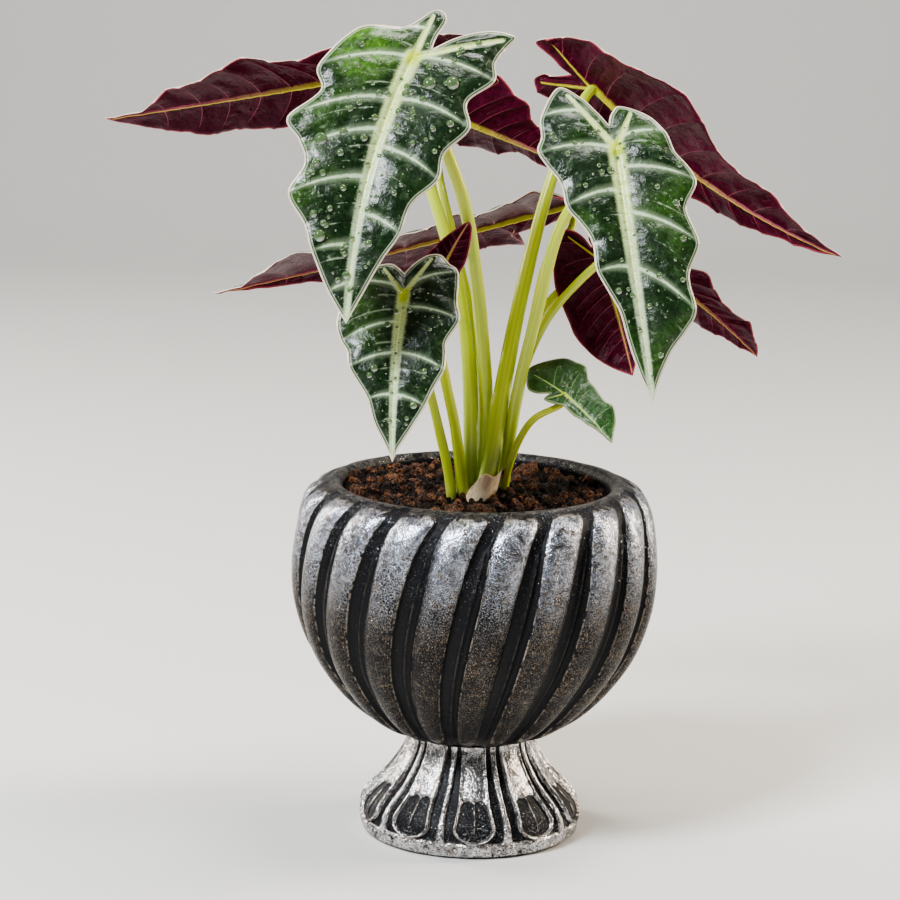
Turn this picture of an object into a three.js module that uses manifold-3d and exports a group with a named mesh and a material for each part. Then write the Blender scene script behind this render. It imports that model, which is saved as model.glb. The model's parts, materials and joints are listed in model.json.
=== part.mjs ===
// A potted alocasia in a fluted, footed urn. Millimetres, +Z up. The origin is on the urn's axis
// at the level of the table, and the front of the plant faces -Y.

import * as THREE from "three";
import { mergeVertices } from "three/addons/utils/BufferGeometryUtils.js";
import Module from "manifold-3d";

// Driving sizes of the urn
const rimHeight = 155.4;
const mouthRadius = 57.8;
const bowlSides = 48;
const ribCount = 20;
const ribDepth = 4.2;
const tongueCount = 10;
const tongueDepth = 2.2;
const footHeight = 44;
const footBaseRadius = 45.5;

// Clear space between neighbouring pieces, and between the soil and the bowl's wall
const fitGap = 0.3;
const wallGap = 0.39;

// Soil and what grows in it
const soilLevel = 150;
const soilLumps = 0.66;
const soilSlope = -0.022;
const soilRings = [0.993, 0.86, 0.7, 0.54, 0.38];
const cormCentre = [1, -5, 127];
const cormRadii = [20, 18, 14];
const rootCount = 6;
const rootLength = 30;
const rootRadius = 1.6;
const stalkFoot = 131;

// Leaf blades
const bladeThickness = 0.7;
const midribDepth = 2.2;
const midribFade = 0.75;
const kneeLength = 3.5;
const lobeRibFade = 0.7;
const veinBow = 0.08;
const bladeSpans = 3;
const stalkGrid = [7, 9];
const rootGrid = [5, 4];

// The bowl's outside along a rib's crest, from the seat up to the lip: radius, height, and how
// many degrees the rib has turned there.
const bowlCrest = [
  [27.5, footHeight + fitGap, -4], [38.5, 48, -3], [50.5, 56, -2], [62, 68, -0.5],
  [72.3, 84, 1.5], [78, 102, 4], [79.4, 118, 6.5], [78.4, 132, 9], [76.2, 143, 11.5],
  [73, 150, 14], [68.5, 153.2, 16], [61.5, rimHeight, 17],
];

// How deep the channels lie below the crest at each of those points, as a part of ribDepth
const channelDepth = [0.1, 0.5, 0.8, 1, 1, 1, 1, 1, 0.9, 0.7, 0.15, 0];

// Where one rib's points lie in its share of the turn, and how far each falls to the channel
const ribSection = [
  [-0.31, 0.7], [-0.22, 0.15], [0, 0], [0.22, 0.15], [0.31, 0.7], [0.39, 1], [0.61, 1],
];

// The bowl's inside, from the middle of the floor to past the mouth: radius, height
const bowlInside = [
  [0, 51], [26, 51.5], [42, 57.5], [53.5, 67.5], [63, 81], [69, 97], [71, 114], [70, 128],
  [67, 139], [62, 146], [mouthRadius, 149.5], [mouthRadius, rimHeight + 2],
];

// The foot's outside along the middle of a tongue, from the table up: radius, height
const footCrest = [
  [footBaseRadius, 0], [48.2, 3.5], [48.9, 9], [47.4, 14], [42.7, 20], [36.5, 26],
  [32.4, 32], [29.5, 37], [27.8, 41.5], [27.3, footHeight],
];
const footRelief = [0.2, 0.5, 0.9, 1, 1, 0.9, 0.75, 0.6, 0.5, 0.4];
const tongueTurn = 2.4;

// One tongue's points: its place in the share of the turn, and its fall. The fall of the hollow
// part of the tongue holds only for the two levels named in hollowLevels.
const tongueSection = [
  [-0.5, 0.45], [-0.42, 1], [-0.35, 1], [-0.29, 0.1], [-0.2, 0.1], [-0.1, 0.05],
  [0, 0], [0.1, 0.05], [0.2, 0.1], [0.29, 0.1], [0.35, 1], [0.42, 1],
];
const hollowFall = 0.8;
const hollowHalfWidth = 0.2;
const hollowLevels = [2, 3];

// Each half of a blade is a fan of lines from the midrib, or from the vein of its lobe, to the
// margin. These are the lines' roots in the order tip, stalk, lobe, notch: above 0 in percent of
// the way from the stalk to the tip, below 0 in percent of the way out along the lobe's vein.
const lineRoots = [98, 86, 73, 61, 48, 36, 26, 17, 8, 0, -35, -70, -100, -70, -35, 0];

// The lines' ends on the margin, in percent of the blade's length: along it from the stalk, and
// outward from its axis. lobe is the end of the lobe's vein, and crests holds the lines that end
// on a point of the waved margin.
const broadLeft = {
  margin: [
    [100, 0], [91, 9], [79, 18], [70, 23], [61, 31], [49, 28], [41, 32], [34, 38], [21, 29],
    [12, 32], [-6.5, 21.5], [-10.3, 7], [-21, -3.5], [-18.5, -8.5], [-10, -6.5], [-5, -6],
  ],
  lobe: [-18, -3.4],
  crests: [2, 4, 7, 9],
};
const broadRight = {
  margin: [
    [100, 0], [88, 3.5], [76, 7], [66, 11], [54, 12.5], [43.5, 19.5], [33, 19.5], [22, 26],
    [12, 23], [2, 30.5], [-6, 29.5], [-13, 32], [-18, 34], [-18, 25], [-13, 15], [-5, 6],
  ],
  lobe: [-15.5, 30],
  crests: [3, 5, 7, 9, 12],
};
const slenderLeft = {
  margin: [
    [100, 0], [89, 4], [76, 7], [64, 9], [49, 15.5], [37, 15.5], [29, 19], [22, 23.5], [12, 24],
    [-1, 30.5], [-8, 28], [-16, 27], [-28, 18], [-23, 10], [-17, 5], [-10, 1],
  ],
  lobe: [-24, 15],
  crests: [4, 7, 9, 11],
};
const slenderRight = {
  margin: [
    [100, 0], [91, 4], [82, 9.5], [75, 16], [68, 20.5], [54, 20], [42, 25.5], [28, 23], [17, 28.5],
    [4, 22.5], [-4, 20], [-12, 14.5], [-17.5, 5], [-15.5, 1.5], [-13, 0], [-10, -1],
  ],
  lobe: [-13.5, 8],
  crests: [4, 6, 8, 10],
};
const shortLeft = {
  margin: [
    [100, 0], [89, 6], [78, 12.5], [65, 17], [56, 23], [47, 29], [37, 31], [31, 35], [22, 38],
    [8, 37], [-4, 36], [-13, 27], [-18.5, 14], [-19.4, 8], [-17.3, 4], [-14, 0.5],
  ],
  lobe: [-15.5, 12.5],
  crests: [5, 8, 10],
};
const shortRight = {
  margin: [
    [100, 0], [91, 3.5], [80, 10], [67, 17], [55, 22], [45, 27], [35, 27.5], [27, 27.5], [14, 34],
    [2, 32], [-16, 31.4], [-22, 25.6], [-27.5, 20], [-26.5, 12], [-20, 4], [-14, -0.5],
  ],
  lobe: [-24, 15],
  crests: [5, 8, 10],
};
const longLeft = {
  margin: [
    [100, 0], [87, 9], [77, 10.8], [68, 14.5], [60, 16.4], [47, 16.5], [36, 17.5], [25, 19],
    [14, 20], [2, 22], [-9, 21], [-19, 18.5], [-30, 13], [-25, 7], [-18, 3], [-10, 0],
  ],
  lobe: [-26, 10.5],
  crests: [1, 4, 7, 9, 11],
};
const longRight = {
  margin: [
    [100, 0], [86, 2.6], [76, 9.5], [65, 14.5], [55, 20], [46, 22], [38, 20.2], [29, 17.7],
    [18, 18.5], [4, 20], [-9, 20], [-19, 18], [-30, 13], [-25, 7], [-18, 3], [-10, 0],
  ],
  lobe: [-26, 10.5],
  crests: [2, 5, 8, 10],
};
const jaggedLeft = {
  margin: [
    [100, 0], [87, 5.5], [75, 10.6], [63, 17.6], [51, 23], [39, 23.7], [24.6, 16.6], [13.8, 21.4],
    [16.8, 12], [10.7, 9.6], [4.7, 7.6], [-0.7, 5.8], [-6.3, 4.8], [-5.8, 3.7], [-4.5, 2.9],
    [-2.7, 1.6],
  ],
  lobe: [-4.9, 3.9],
  crests: [4, 7],
};
const jaggedRight = {
  margin: [
    [100, 0], [92, 2.8], [76, 19.6], [64, 18.6], [51.5, 15.7], [39, 15.7], [31, 17.5], [25.5, 17.3],
    [18, 24], [9, 25], [3, 14.3], [-2, 6.1], [-7.4, -0.2], [-6.5, -1.8], [-4.5, -2.3], [-2.7, -1.6],
  ],
  lobe: [-5.5, 0.5],
  crests: [2, 6, 9],
};
const curledLeft = {
  margin: [
    [100, 0], [93, 6.5], [84, 12], [74, 18], [64, 22.5], [52, 28], [41, 32], [30, 33], [17, 33],
    [4, 34], [-9, 31], [-19, 27], [-30, 18], [-25, 9], [-18, 4], [-10, 0],
  ],
  lobe: [-26, 14],
  crests: [3, 6, 9],
};
const curledRight = {
  margin: [
    [100, 0], [95, 6.5], [86, 10.5], [77, 13.8], [66, 17], [53, 20], [43, 21], [33, 21], [18, 23],
    [3, 26], [-9, 25], [-19, 22], [-30, 15], [-25, 9], [-18, 4], [-10, 0],
  ],
  lobe: [-26, 12],
  crests: [3, 6, 9],
};
const wideLeft = {
  margin: [
    [100, 0], [90, 3.6], [79, 6.8], [68, 10.5], [57, 13], [45.6, 17], [36, 26], [25.6, 29.7],
    [12, 28], [3, 23.5], [-9, 17.6], [-17, 12], [-24.2, -0.7], [-19.5, -1.3], [-13.9, -1.9],
    [-8.6, -3],
  ],
  lobe: [-20, 5.5],
  crests: [3, 7, 10],
};
const wideRight = {
  margin: [
    [100, 0], [90, 3.6], [79, 6.6], [69, 10.4], [59, 14.5], [48, 13], [37, 15], [27, 17.5],
    [15, 19.5], [3, 20.5], [-9.7, 20.2], [-15, 19.4], [-18.1, 15.7], [-16.5, 10.8], [-14.2, 9.2],
    [-8.6, 3],
  ],
  lobe: [-15.5, 14],
  crests: [4, 7, 10],
};
const shadedLeft = {
  margin: [
    [100, 0], [90, 5], [79, 9], [67, 13], [55, 16], [44, 19], [35, 20], [24, 21], [13, 21], [2, 22],
    [-9, 21], [-19, 19], [-28, 13], [-24, 6], [-19, 1], [-14.7, -6],
  ],
  lobe: [-23, 10],
  crests: [3, 6, 9],
};
const shadedRight = {
  margin: [
    [100, 0], [94, 9], [87.6, 17.4], [80, 25], [73.4, 30.7], [62, 37], [52.4, 40.7], [41, 42.5],
    [26, 44], [8.8, 45.3], [-11.4, 41], [-24.8, 35], [-34, 24.4], [-31.7, 16], [-24, 9.5],
    [-14.7, 6],
  ],
  lobe: [-28, 22],
  crests: [4, 7, 10],
};
const droopingLeft = {
  margin: [
    [100, 0], [93, 10], [84, 18], [76, 22.5], [64, 23.5], [53, 26], [42, 31], [33, 35], [20.7, 30],
    [8, 30], [-5, 28], [-16, 24], [-27, 16], [-23, 9], [-17, 4], [-10, 0],
  ],
  lobe: [-23, 13],
  crests: [3, 7, 10],
};
const droopingRight = {
  margin: [
    [100, 0], [92.5, 0.6], [83, 3], [74, 5.3], [64, 10.5], [54, 15.7], [43, 19], [32, 22], [19, 25],
    [6, 28], [-7, 27], [-18, 23], [-28, 16], [-24, 9], [-17, 4], [-10, 0],
  ],
  lobe: [-24, 13],
  crests: [5, 8, 10],
};
const smallLeft = {
  margin: [
    [100, 0], [90, 0.5], [77, 2.6], [66, 5.5], [56, 8.5], [45, 10.5], [34, 12.4], [23, 12.8],
    [12, 13], [2, 16], [-5, 19], [-11, 21], [-17, 21], [-18, 18], [-17.5, 14], [-16, 11],
  ],
  lobe: [-13, 18],
  crests: [5, 8],
};
const smallRight = {
  margin: [
    [100, 0], [88, 15], [77, 27], [61, 35.4], [47, 34], [34, 35], [20, 38], [5.5, 41], [-14, 52],
    [-33, 52.5], [-52, 46], [-70, 25], [-75, 2.6], [-51, -20], [-35, -20], [-16, -11],
  ],
  lobe: [-60, -1],
  crests: [3, 8],
};
const rearLeft = {
  margin: [
    [100, 0], [89, 3.5], [76, 6.5], [66, 8.5], [58, 9.8], [51.7, 14.6], [46.5, 21.7], [37.4, 23.8],
    [26.6, 28.2], [12, 29.5], [-3, 28.5], [-16, 27], [-28, 18], [-23, 10], [-17, 5], [-10, 1],
  ],
  lobe: [-24, 15],
  crests: [4, 8, 11],
};
const rearRight = {
  margin: [
    [100, 0], [86, 5], [76, 9], [66.6, 11.2], [55, 12.2], [46, 17.6], [36.5, 22.7], [25, 23.2],
    [14, 26], [4, 24], [-4, 21], [-12, 14.5], [-17.5, 5], [-15.5, 1.5], [-13, 0], [-10, -1],
  ],
  lobe: [-13.5, 8],
  crests: [4, 6, 8, 10],
};

// The roots on the leaf whose left half has a deep tooth
const jaggedRoots = [98, 86, 73, 61, 48, 36, 26, 21, 14, 0, -35, -70, -100, -70, -35, 0];

// The leaves. stalk is where the blade sits on its stalk, tip is the blade's tip, and face is
// which way its upper side looks. sweep bends the midrib sideways, in percent of the blade's
// length. arch, folds, cup and wave shape the blade: the rise of its middle above the line from
// stalk to tip, the slope of its left and right half, how far those slopes roll over, and the
// margin's waves. radii are the stalk's, at the soil and at the blade, and route leads it up.
const leaves = [
  {
    stalk: [-30, -60, 342], tip: [-54, -100, 240], face: [0.05, -1, 0.35],
    halves: [broadLeft, broadRight], sweep: -5,
    arch: 7, folds: [0.22, 0.22], cup: 0.006, wave: 1.2, radii: [3.5, 2.4],
    route: [[2.2, -2.2, 150], [2.9, -2.5, 190], [1.2, -8, 215], [-2.5, -20, 248], [-9, -33, 283]],
  },
  {
    stalk: [53, -50, 306], tip: [69.5, -85, 208], face: [0.1, -1, 0.35],
    halves: [slenderLeft, slenderRight], sweep: -1,
    arch: 6, folds: [0.25, 0.25], cup: 0.007, wave: 1.1, radii: [2.8, 2.2],
    route: [[10.8, -6, 150], [13, -7.2, 170], [16.9, -13, 200], [24, -23, 235], [33, -36, 274]],
  },
  {
    stalk: [-32, -60, 245.5], tip: [-35, -85, 181], face: [0, -1, 0.4],
    halves: [shortLeft, shortRight], sweep: -2,
    arch: 4.5, folds: [0.2, 0.2], cup: 0.008, wave: 0.9, radii: [2.2, 1.8],
    route: [[-10.6, -16.5, 150], [-12.7, -17.8, 164.6], [-16.4, -21, 181], [-24, -33, 212]],
  },
  {
    stalk: [-37, 25, 329.5], tip: [-165, 45, 303], face: [0, 0.66, 0.75],
    halves: [longLeft, longRight], sweep: -0.5,
    arch: 0, folds: [-0.1, -0.1], cup: 0.001, wave: 1.6, radii: [3.1, 2.3],
    route: [[-2.9, -7.6, 150], [-4.3, -7, 199], [-9, -2, 238], [-19, 5, 271]],
  },
  {
    stalk: [38, 62, 267.7], tip: [-118, 55, 225.7], face: [0, 0.45, 0.89],
    halves: [jaggedLeft, jaggedRight], sweep: -8, roots: jaggedRoots,
    arch: 3.5, folds: [-0.12, -0.12], cup: 0.001, wave: 1.6, radii: [2.3, 1.8],
    route: [
      [12.5, 12, 150], [13.5, 14, 169], [16.6, 15, 185], [20, 20, 206], [24, 31, 225],
      [29, 45, 244],
    ],
  },
  {
    stalk: [-19, -44, 247.7], tip: [-5.8, -38, 273.1], face: [0.1, 1, -0.3],
    halves: [curledLeft, curledRight], sweep: -3,
    arch: 1, folds: [0.5, 0.5], cup: 0.01, wave: 0.5, radii: [2.8, 1.6],
    route: [[-5.9, -13.6, 150], [-9.6, -19, 181], [-14.3, -28.5, 204], [-18, -45, 228]],
  },
  {
    stalk: [47, 40, 322], tip: [156, 25, 252], face: [0.15, 0.69, 0.72],
    halves: [wideLeft, wideRight], sweep: 4,
    arch: -4, folds: [-0.1, 0], cup: 0.001, wave: 1.6, radii: [4.3, 2.1],
    route: [
      [3.2, -12.4, 150], [5, -12, 162.8], [7.5, -9.9, 178], [10.5, -6.9, 200], [18, 3, 240],
      [29, 19, 283],
    ],
  },
  {
    stalk: [51.7, 5, 250.8], tip: [65.5, -5, 203.6], face: [0.1, 1, 0.1],
    halves: [shadedLeft, shadedRight], sweep: 0,
    arch: 3, folds: [0.15, 0.15], cup: 0.006, wave: 0.8, radii: [2.3, 1.7],
    route: [[9.8, 1.6, 150], [18, 2.5, 200], [30, 0, 229]],
  },
  {
    stalk: [67, 25, 250], tip: [122, 35, 206], face: [0.3, 0.6, 0.75],
    halves: [droopingLeft, droopingRight], sweep: -8,
    arch: -1, folds: [0.04, 0.04], cup: 0.002, wave: 1, radii: [2.3, 1.7],
    route: [[8.8, 7.4, 150], [17, 9, 196], [27, 14, 228], [45, 19, 243]],
  },
  {
    stalk: [36, -20, 198], tip: [56, -34, 180], face: [0.1, -0.75, 0.65],
    halves: [smallLeft, smallRight], sweep: 0,
    arch: 2, folds: [-0.4, 0.15], cup: 0.004, wave: 0.6, radii: [1.9, 1.4],
    route: [[11.6, -11.6, 150], [12.9, -11.8, 162], [18.6, -13, 178.5], [24, -15, 186.4]],
  },
  {
    stalk: [-23, 75, 307], tip: [53, 85, 277], face: [0, 0.79, 0.61],
    halves: [rearLeft, rearRight], sweep: 2,
    arch: 2, folds: [0.4, 0.4], cup: 0.003, wave: 1.6, radii: [2.4, 1.8],
    route: [[-4.6, 0.4, 150], [-2, 3, 213], [-10, 9, 250], [-18, 26, 279], [-21, 48, 292]],
  },
];

// The torn papery sleeve round the foot of the thickest stalk: its centre line, the radius of its
// bore at the foot and at the top, the plane of its open back, and that of its slanting top
const sleeveRoute = [[0.2, -12.6, 146], [1.2, -12.4, 151], [3.8, -11.4, 158], [6.2, -10.9, 165]];
const sleeveRadii = [7.2, 5.2];
const sleeveThickness = 0.8;
const sleeveGrid = [14, 4];
const sleeveBack = -11.2;
const sleeveSlant = [0.16, 0, -0.987];
const sleeveTop = -160;

// Colours and finishes
const finishes = {
  bowl: { color: 0x4a4a4c, roughness: 0.45, metalness: 0.7 },
  foot: { color: 0x8f8d88, roughness: 0.35, metalness: 0.8 },
  soil: { color: 0x3a1f14, roughness: 0.95, metalness: 0 },
  corm: { color: 0x6b4a2e, roughness: 0.9, metalness: 0 },
  sleeve: { color: 0xcdb092, roughness: 0.7, metalness: 0 },
  stalk: { color: 0xa8b64a, roughness: 0.4, metalness: 0 },
  blade: { color: 0x234a2b, roughness: 0.4, metalness: 0 },
};

const wasm = await Module();
wasm.setup();

const group = new THREE.Group();

const vector = (numbers) => new THREE.Vector3(...numbers);

// Adds one named piece to the model
function addPiece(name, geometry, finish) {
  const mesh = new THREE.Mesh(geometry, new THREE.MeshStandardMaterial(finish));
  mesh.name = name;
  group.add(mesh);
}

// Welds a list of triangles, drops those without area and turns the solid right side out
function weld(points, triangles) {
  const loose = new THREE.BufferGeometry();
  loose.setAttribute("position", new THREE.Float32BufferAttribute(points.flatMap((p) => [...p]), 3));
  loose.setIndex(triangles.flat());
  const welded = mergeVertices(loose, 1e-3);
  const place = welded.getAttribute("position");
  const corner = (i) => new THREE.Vector3().fromBufferAttribute(place, i);
  const index = welded.getIndex().array;
  const kept = [];
  let volume = 0;
  for (let i = 0; i < index.length; i += 3) {
    const [a, b, c] = [index[i], index[i + 1], index[i + 2]];
    if (a !== b && b !== c && c !== a) {
      kept.push([a, b, c]);
      volume += corner(a).dot(corner(b).cross(corner(c)));
    }
  }
  welded.setIndex(kept.flatMap(([a, b, c]) => (volume > 0 ? [a, b, c] : [a, c, b])));
  welded.computeVertexNormals();
  return welded;
}

// A closed skin over a stack of rings, each with the same number of points
function stackSkin(rings) {
  const count = rings[0].length;
  const points = rings.flat();
  const triangles = [];
  for (let level = 0; level + 1 < rings.length; level += 1) {
    for (let i = 0; i < count; i += 1) {
      const a = level * count + i;
      const b = level * count + ((i + 1) % count);
      triangles.push([a, b, b + count], [a, b + count, a + count]);
    }
  }
  for (const [level, flip] of [[0, true], [rings.length - 1, false]]) {
    const middle = new THREE.Vector3();
    rings[level].forEach((p) => middle.addScaledVector(p, 1 / count));
    points.push(middle);
    for (let i = 0; i < count; i += 1) {
      const a = level * count + i;
      const b = level * count + ((i + 1) % count);
      triangles.push(flip ? [b, a, points.length - 1] : [a, b, points.length - 1]);
    }
  }
  return weld(points, triangles);
}

// Conversions to and from the solids that are cut and joined
function toSolid(geometry) {
  const bare = geometry.clone();
  bare.deleteAttribute("normal");
  bare.deleteAttribute("uv");
  const welded = mergeVertices(bare, 1e-3);
  return new wasm.Manifold(new wasm.Mesh({
    numProp: 3,
    vertProperties: Float32Array.from(welded.getAttribute("position").array),
    triVerts: Uint32Array.from(welded.getIndex().array),
  }));
}

function toGeometry(solid) {
  const mesh = solid.getMesh();
  const geometry = new THREE.BufferGeometry();
  geometry.setAttribute("position", new THREE.BufferAttribute(mesh.vertProperties, 3));
  geometry.setIndex(new THREE.BufferAttribute(mesh.triVerts, 1));
  geometry.computeVertexNormals();
  return geometry;
}

// A point of a shape of revolution, its turn measured from the front towards +X
function around(radius, turn, height) {
  return new THREE.Vector3(radius * Math.sin(turn), -radius * Math.cos(turn), height);
}

// The direction at right angles to a profile at one of its points, pointing out of the shape
function profileNormal(profile, i) {
  const before = profile[Math.max(i - 1, 0)];
  const after = profile[Math.min(i + 1, profile.length - 1)];
  return new THREE.Vector2(after[1] - before[1], before[0] - after[0]).normalize();
}

// One ring of a profile with relief: section holds the places and falls of one repeat
function reliefRing(profile, level, repeats, turn, section, depth, hollow) {
  const [radius, height] = profile[level];
  const normal = profileNormal(profile, level);
  const flat = level === 0 || level === profile.length - 1;
  const ring = [];
  for (let repeat = 0; repeat < repeats; repeat += 1) {
    for (const [place, fall] of section) {
      const angle = THREE.MathUtils.degToRad(turn) + ((repeat + place) * 2 * Math.PI) / repeats;
      const drop = depth * Math.max(fall, hollow(place));
      const lift = flat ? 0 : normal.y * drop;
      ring.push(around(radius - (flat ? drop : normal.x * drop), angle, height - lift));
    }
  }
  return ring;
}

function urnBowl() {
  const rings = bowlCrest.map(([, , turn], level) => reliefRing(
    bowlCrest, level, ribCount, turn, ribSection, ribDepth * channelDepth[level], () => 0,
  ));
  const inside = new THREE.LatheGeometry(closedProfile(bowlInside), bowlSides);
  inside.rotateX(Math.PI / 2);
  return toGeometry(toSolid(stackSkin(rings)).subtract(toSolid(inside)));
}

function urnFoot() {
  const rings = footCrest.map((_, level) => reliefRing(
    footCrest, level, tongueCount, tongueTurn, tongueSection, tongueDepth * footRelief[level],
    (place) => (hollowLevels.includes(level) && Math.abs(place) < hollowHalfWidth ? hollowFall : 0),
  ));
  return stackSkin(rings);
}

// A lathe profile that starts and ends on the axis
function closedProfile(profile) {
  const points = profile.map(([radius, height]) => new THREE.Vector2(radius, height));
  points.push(new THREE.Vector2(0, profile[profile.length - 1][1]));
  return points;
}

// How far the soil's surface lies above its level, lower at the right
function soilHeight(x, y) {
  const lumps = Math.sin(x * 0.31 + 1.1) * Math.cos(y * 0.27 + 0.4) + Math.sin(x * 0.13 - y * 0.19);
  return soilLumps * lumps + soilSlope * x;
}

function soilBody() {
  const rings = [];
  const ringAt = (radius, height) => Array.from({ length: bowlSides }, (_, i) => {
    const point = around(radius, (i * 2 * Math.PI) / bowlSides, 0);
    point.z = height(point);
    return point;
  });
  bowlInside.forEach(([radius, height], i) => {
    const normal = profileNormal(bowlInside, i);
    if (radius > 0 && height < soilLevel) {
      rings.push(ringAt(radius - wallGap * normal.x, () => height - wallGap * normal.y));
    }
  });
  for (const share of soilRings) {
    rings.push(ringAt(mouthRadius * share, (p) => soilLevel + soilHeight(p.x, p.y)));
  }
  return toSolid(stackSkin(rings));
}

// A round stem along a smooth route, its radius growing evenly from one end to the other
function stem(route, radii, [sides, steps], grown) {
  const curve = new THREE.CatmullRomCurve3(route, false, "centripetal");
  const frames = curve.computeFrenetFrames(steps, false);
  const rings = [];
  for (let step = 0; step <= steps; step += 1) {
    const past = grown * (Number(step === steps) - Number(step === 0));
    const centre = curve.getPointAt(step / steps).addScaledVector(frames.tangents[step], past);
    const radius = grown + THREE.MathUtils.lerp(radii[0], radii[1], step / steps);
    rings.push(Array.from({ length: sides }, (_, side) => {
      const angle = (side * 2 * Math.PI) / sides;
      return centre.clone()
        .addScaledVector(frames.normals[step], radius * Math.cos(angle))
        .addScaledVector(frames.binormals[step], radius * Math.sin(angle));
    }));
  }
  return toSolid(stackSkin(rings));
}

// The bulb-like corm with its stubby roots, grown by a margin for the hole that it sits in
function corm(grown) {
  const body = new THREE.SphereGeometry(1, 14, 9);
  body.scale(...cormRadii.map((radius) => radius + grown));
  body.translate(...cormCentre);
  let solid = toSolid(body);
  for (let i = 0; i < rootCount; i += 1) {
    const turn = ((i + 0.5) * 2 * Math.PI) / rootCount;
    const start = vector(cormCentre).add(around(cormRadii[1] * 0.5, turn, -4));
    const middle = start.clone().add(around(rootLength * 0.5, turn + 0.2, -rootLength * 0.3));
    const end = start.clone().add(around(rootLength * 0.7, turn + 0.5, -rootLength));
    const radii = [rootRadius * 1.4, rootRadius * 0.6];
    solid = solid.add(stem([start, middle, end], radii, rootGrid, grown));
  }
  return solid;
}

// The directions of a blade: along it, across it and out of its upper side
function bladeAxes(leaf) {
  const along = vector(leaf.tip).sub(vector(leaf.stalk));
  const length = along.length();
  along.normalize();
  const up = vector(leaf.face);
  up.addScaledVector(along, -up.dot(along)).normalize();
  return { along, up, across: new THREE.Vector3().crossVectors(up, along), length };
}

// How far the midrib stands off the straight line from stalk to tip, in percent of the length
function midribSide(leaf, along) {
  const part = THREE.MathUtils.clamp(along / 100, 0, 1);
  return leaf.sweep * 4 * part * (1 - part);
}

// The blade's height above the line from stalk to tip
function bladeHeight(leaf, length, along, across) {
  const middle = (along - 50) / 50;
  const side = across - midribSide(leaf, along);
  const off = (Math.abs(side) * length) / 100;
  const slope = leaf.folds[side < 0 ? 0 : 1];
  return leaf.arch * (1 - middle * middle) + slope * off - leaf.cup * off * off;
}

// One half of a blade as rows of point pairs, upper and lower, from midrib to margin
function bladeRows(leaf, half, side) {
  const { along, across, up, length } = bladeAxes(leaf);
  return (leaf.roots ?? lineRoots).map((root, row) => {
    const start = root >= 0
      ? [root, side * midribSide(leaf, root)]
      : [(half.lobe[0] * -root) / 100, (half.lobe[1] * -root) / 100];
    const end = half.margin[row];
    const bend = -veinBow * Math.hypot(end[0] - start[0], end[1] - start[1]);
    const last = row === 0 || row === lineRoots.length - 1;
    const wave = last ? 0 : leaf.wave * (half.crests.includes(row) ? 1 : -1);
    return Array.from({ length: bladeSpans + 1 }, (_, i) => {
      const r = i / bladeSpans;
      const s = start[0] + (end[0] - start[0]) * r + (last ? 0 : bend * 4 * r * (1 - r));
      const v = side * (start[1] + (end[1] - start[1]) * r);
      const height = bladeHeight(leaf, length, s, v) + wave * r * r;
      const fade = root >= 0 ? midribFade * root : -lobeRibFade * root;
      const rib = i > 0 ? 0 : midribDepth * (1 - fade / 100);
      const place = (h) => vector(leaf.stalk)
        .addScaledVector(along, (s * length) / 100)
        .addScaledVector(across, (v * length) / 100)
        .addScaledVector(up, h);
      return [place(height + bladeThickness / 2), place(height - bladeThickness / 2 - rib)];
    });
  });
}

function blade(leaf) {
  const points = [];
  const triangles = [];
  leaf.halves.forEach((half, i) => {
    const side = i === 0 ? -1 : 1;
    const rows = bladeRows(leaf, half, side);
    const first = points.length;
    rows.flat(2).forEach((point) => points.push(point));
    const at = (row, span, under) => first + ((row * (bladeSpans + 1) + span) * 2) + under;
    const quad = (a, b, c, d) => {
      triangles.push(...(side > 0 ? [[a, b, c], [a, c, d]] : [[a, c, b], [a, d, c]]));
    };
    for (let row = 0; row + 1 < rows.length; row += 1) {
      for (let span = 0; span < bladeSpans; span += 1) {
        quad(at(row, span, 0), at(row, span + 1, 0), at(row + 1, span + 1, 0), at(row + 1, span, 0));
        quad(at(row, span, 1), at(row + 1, span, 1), at(row + 1, span + 1, 1), at(row, span + 1, 1));
      }
      const edge = bladeSpans;
      quad(at(row, edge, 0), at(row, edge, 1), at(row + 1, edge, 1), at(row + 1, edge, 0));
    }
  });
  return weld(points, triangles);
}

// A leaf's stalk, from inside the soil to just under its blade
function leafStalk(leaf, grown) {
  const { up, length } = bladeAxes(leaf);
  const under = bladeThickness / 2 + midribDepth + 2 * fitGap - bladeHeight(leaf, length, 0, 0);
  const seat = vector(leaf.stalk).addScaledVector(up, -under);
  const knee = seat.clone().addScaledVector(up, -kneeLength * leaf.radii[1]);
  const route = leaf.route.map(vector);
  const foot = route[0].clone().setZ(stalkFoot);
  return stem([foot, ...route, knee, seat], leaf.radii, stalkGrid, grown);
}

// The torn papery sleeve, a tube open to the back, or grown the hole that it stands in
function paperSleeve(grown) {
  const route = sleeveRoute.map(vector);
  const past = new THREE.Vector3(0, 0, sleeveRadii[0]);
  const bore = [route[0].clone().sub(past), ...route, route[route.length - 1].clone().add(past)];
  const outer = sleeveRadii.map((radius) => radius + sleeveThickness);
  return stem(route, outer, sleeveGrid, grown)
    .subtract(stem(bore, sleeveRadii, sleeveGrid, -grown))
    .trimByPlane([0, -1, 0], -sleeveBack - grown)
    .trimByPlane(sleeveSlant, sleeveTop - grown);
}

addPiece("urn_foot", urnFoot(), finishes.foot);
addPiece("urn_bowl", urnBowl(), finishes.bowl);

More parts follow.
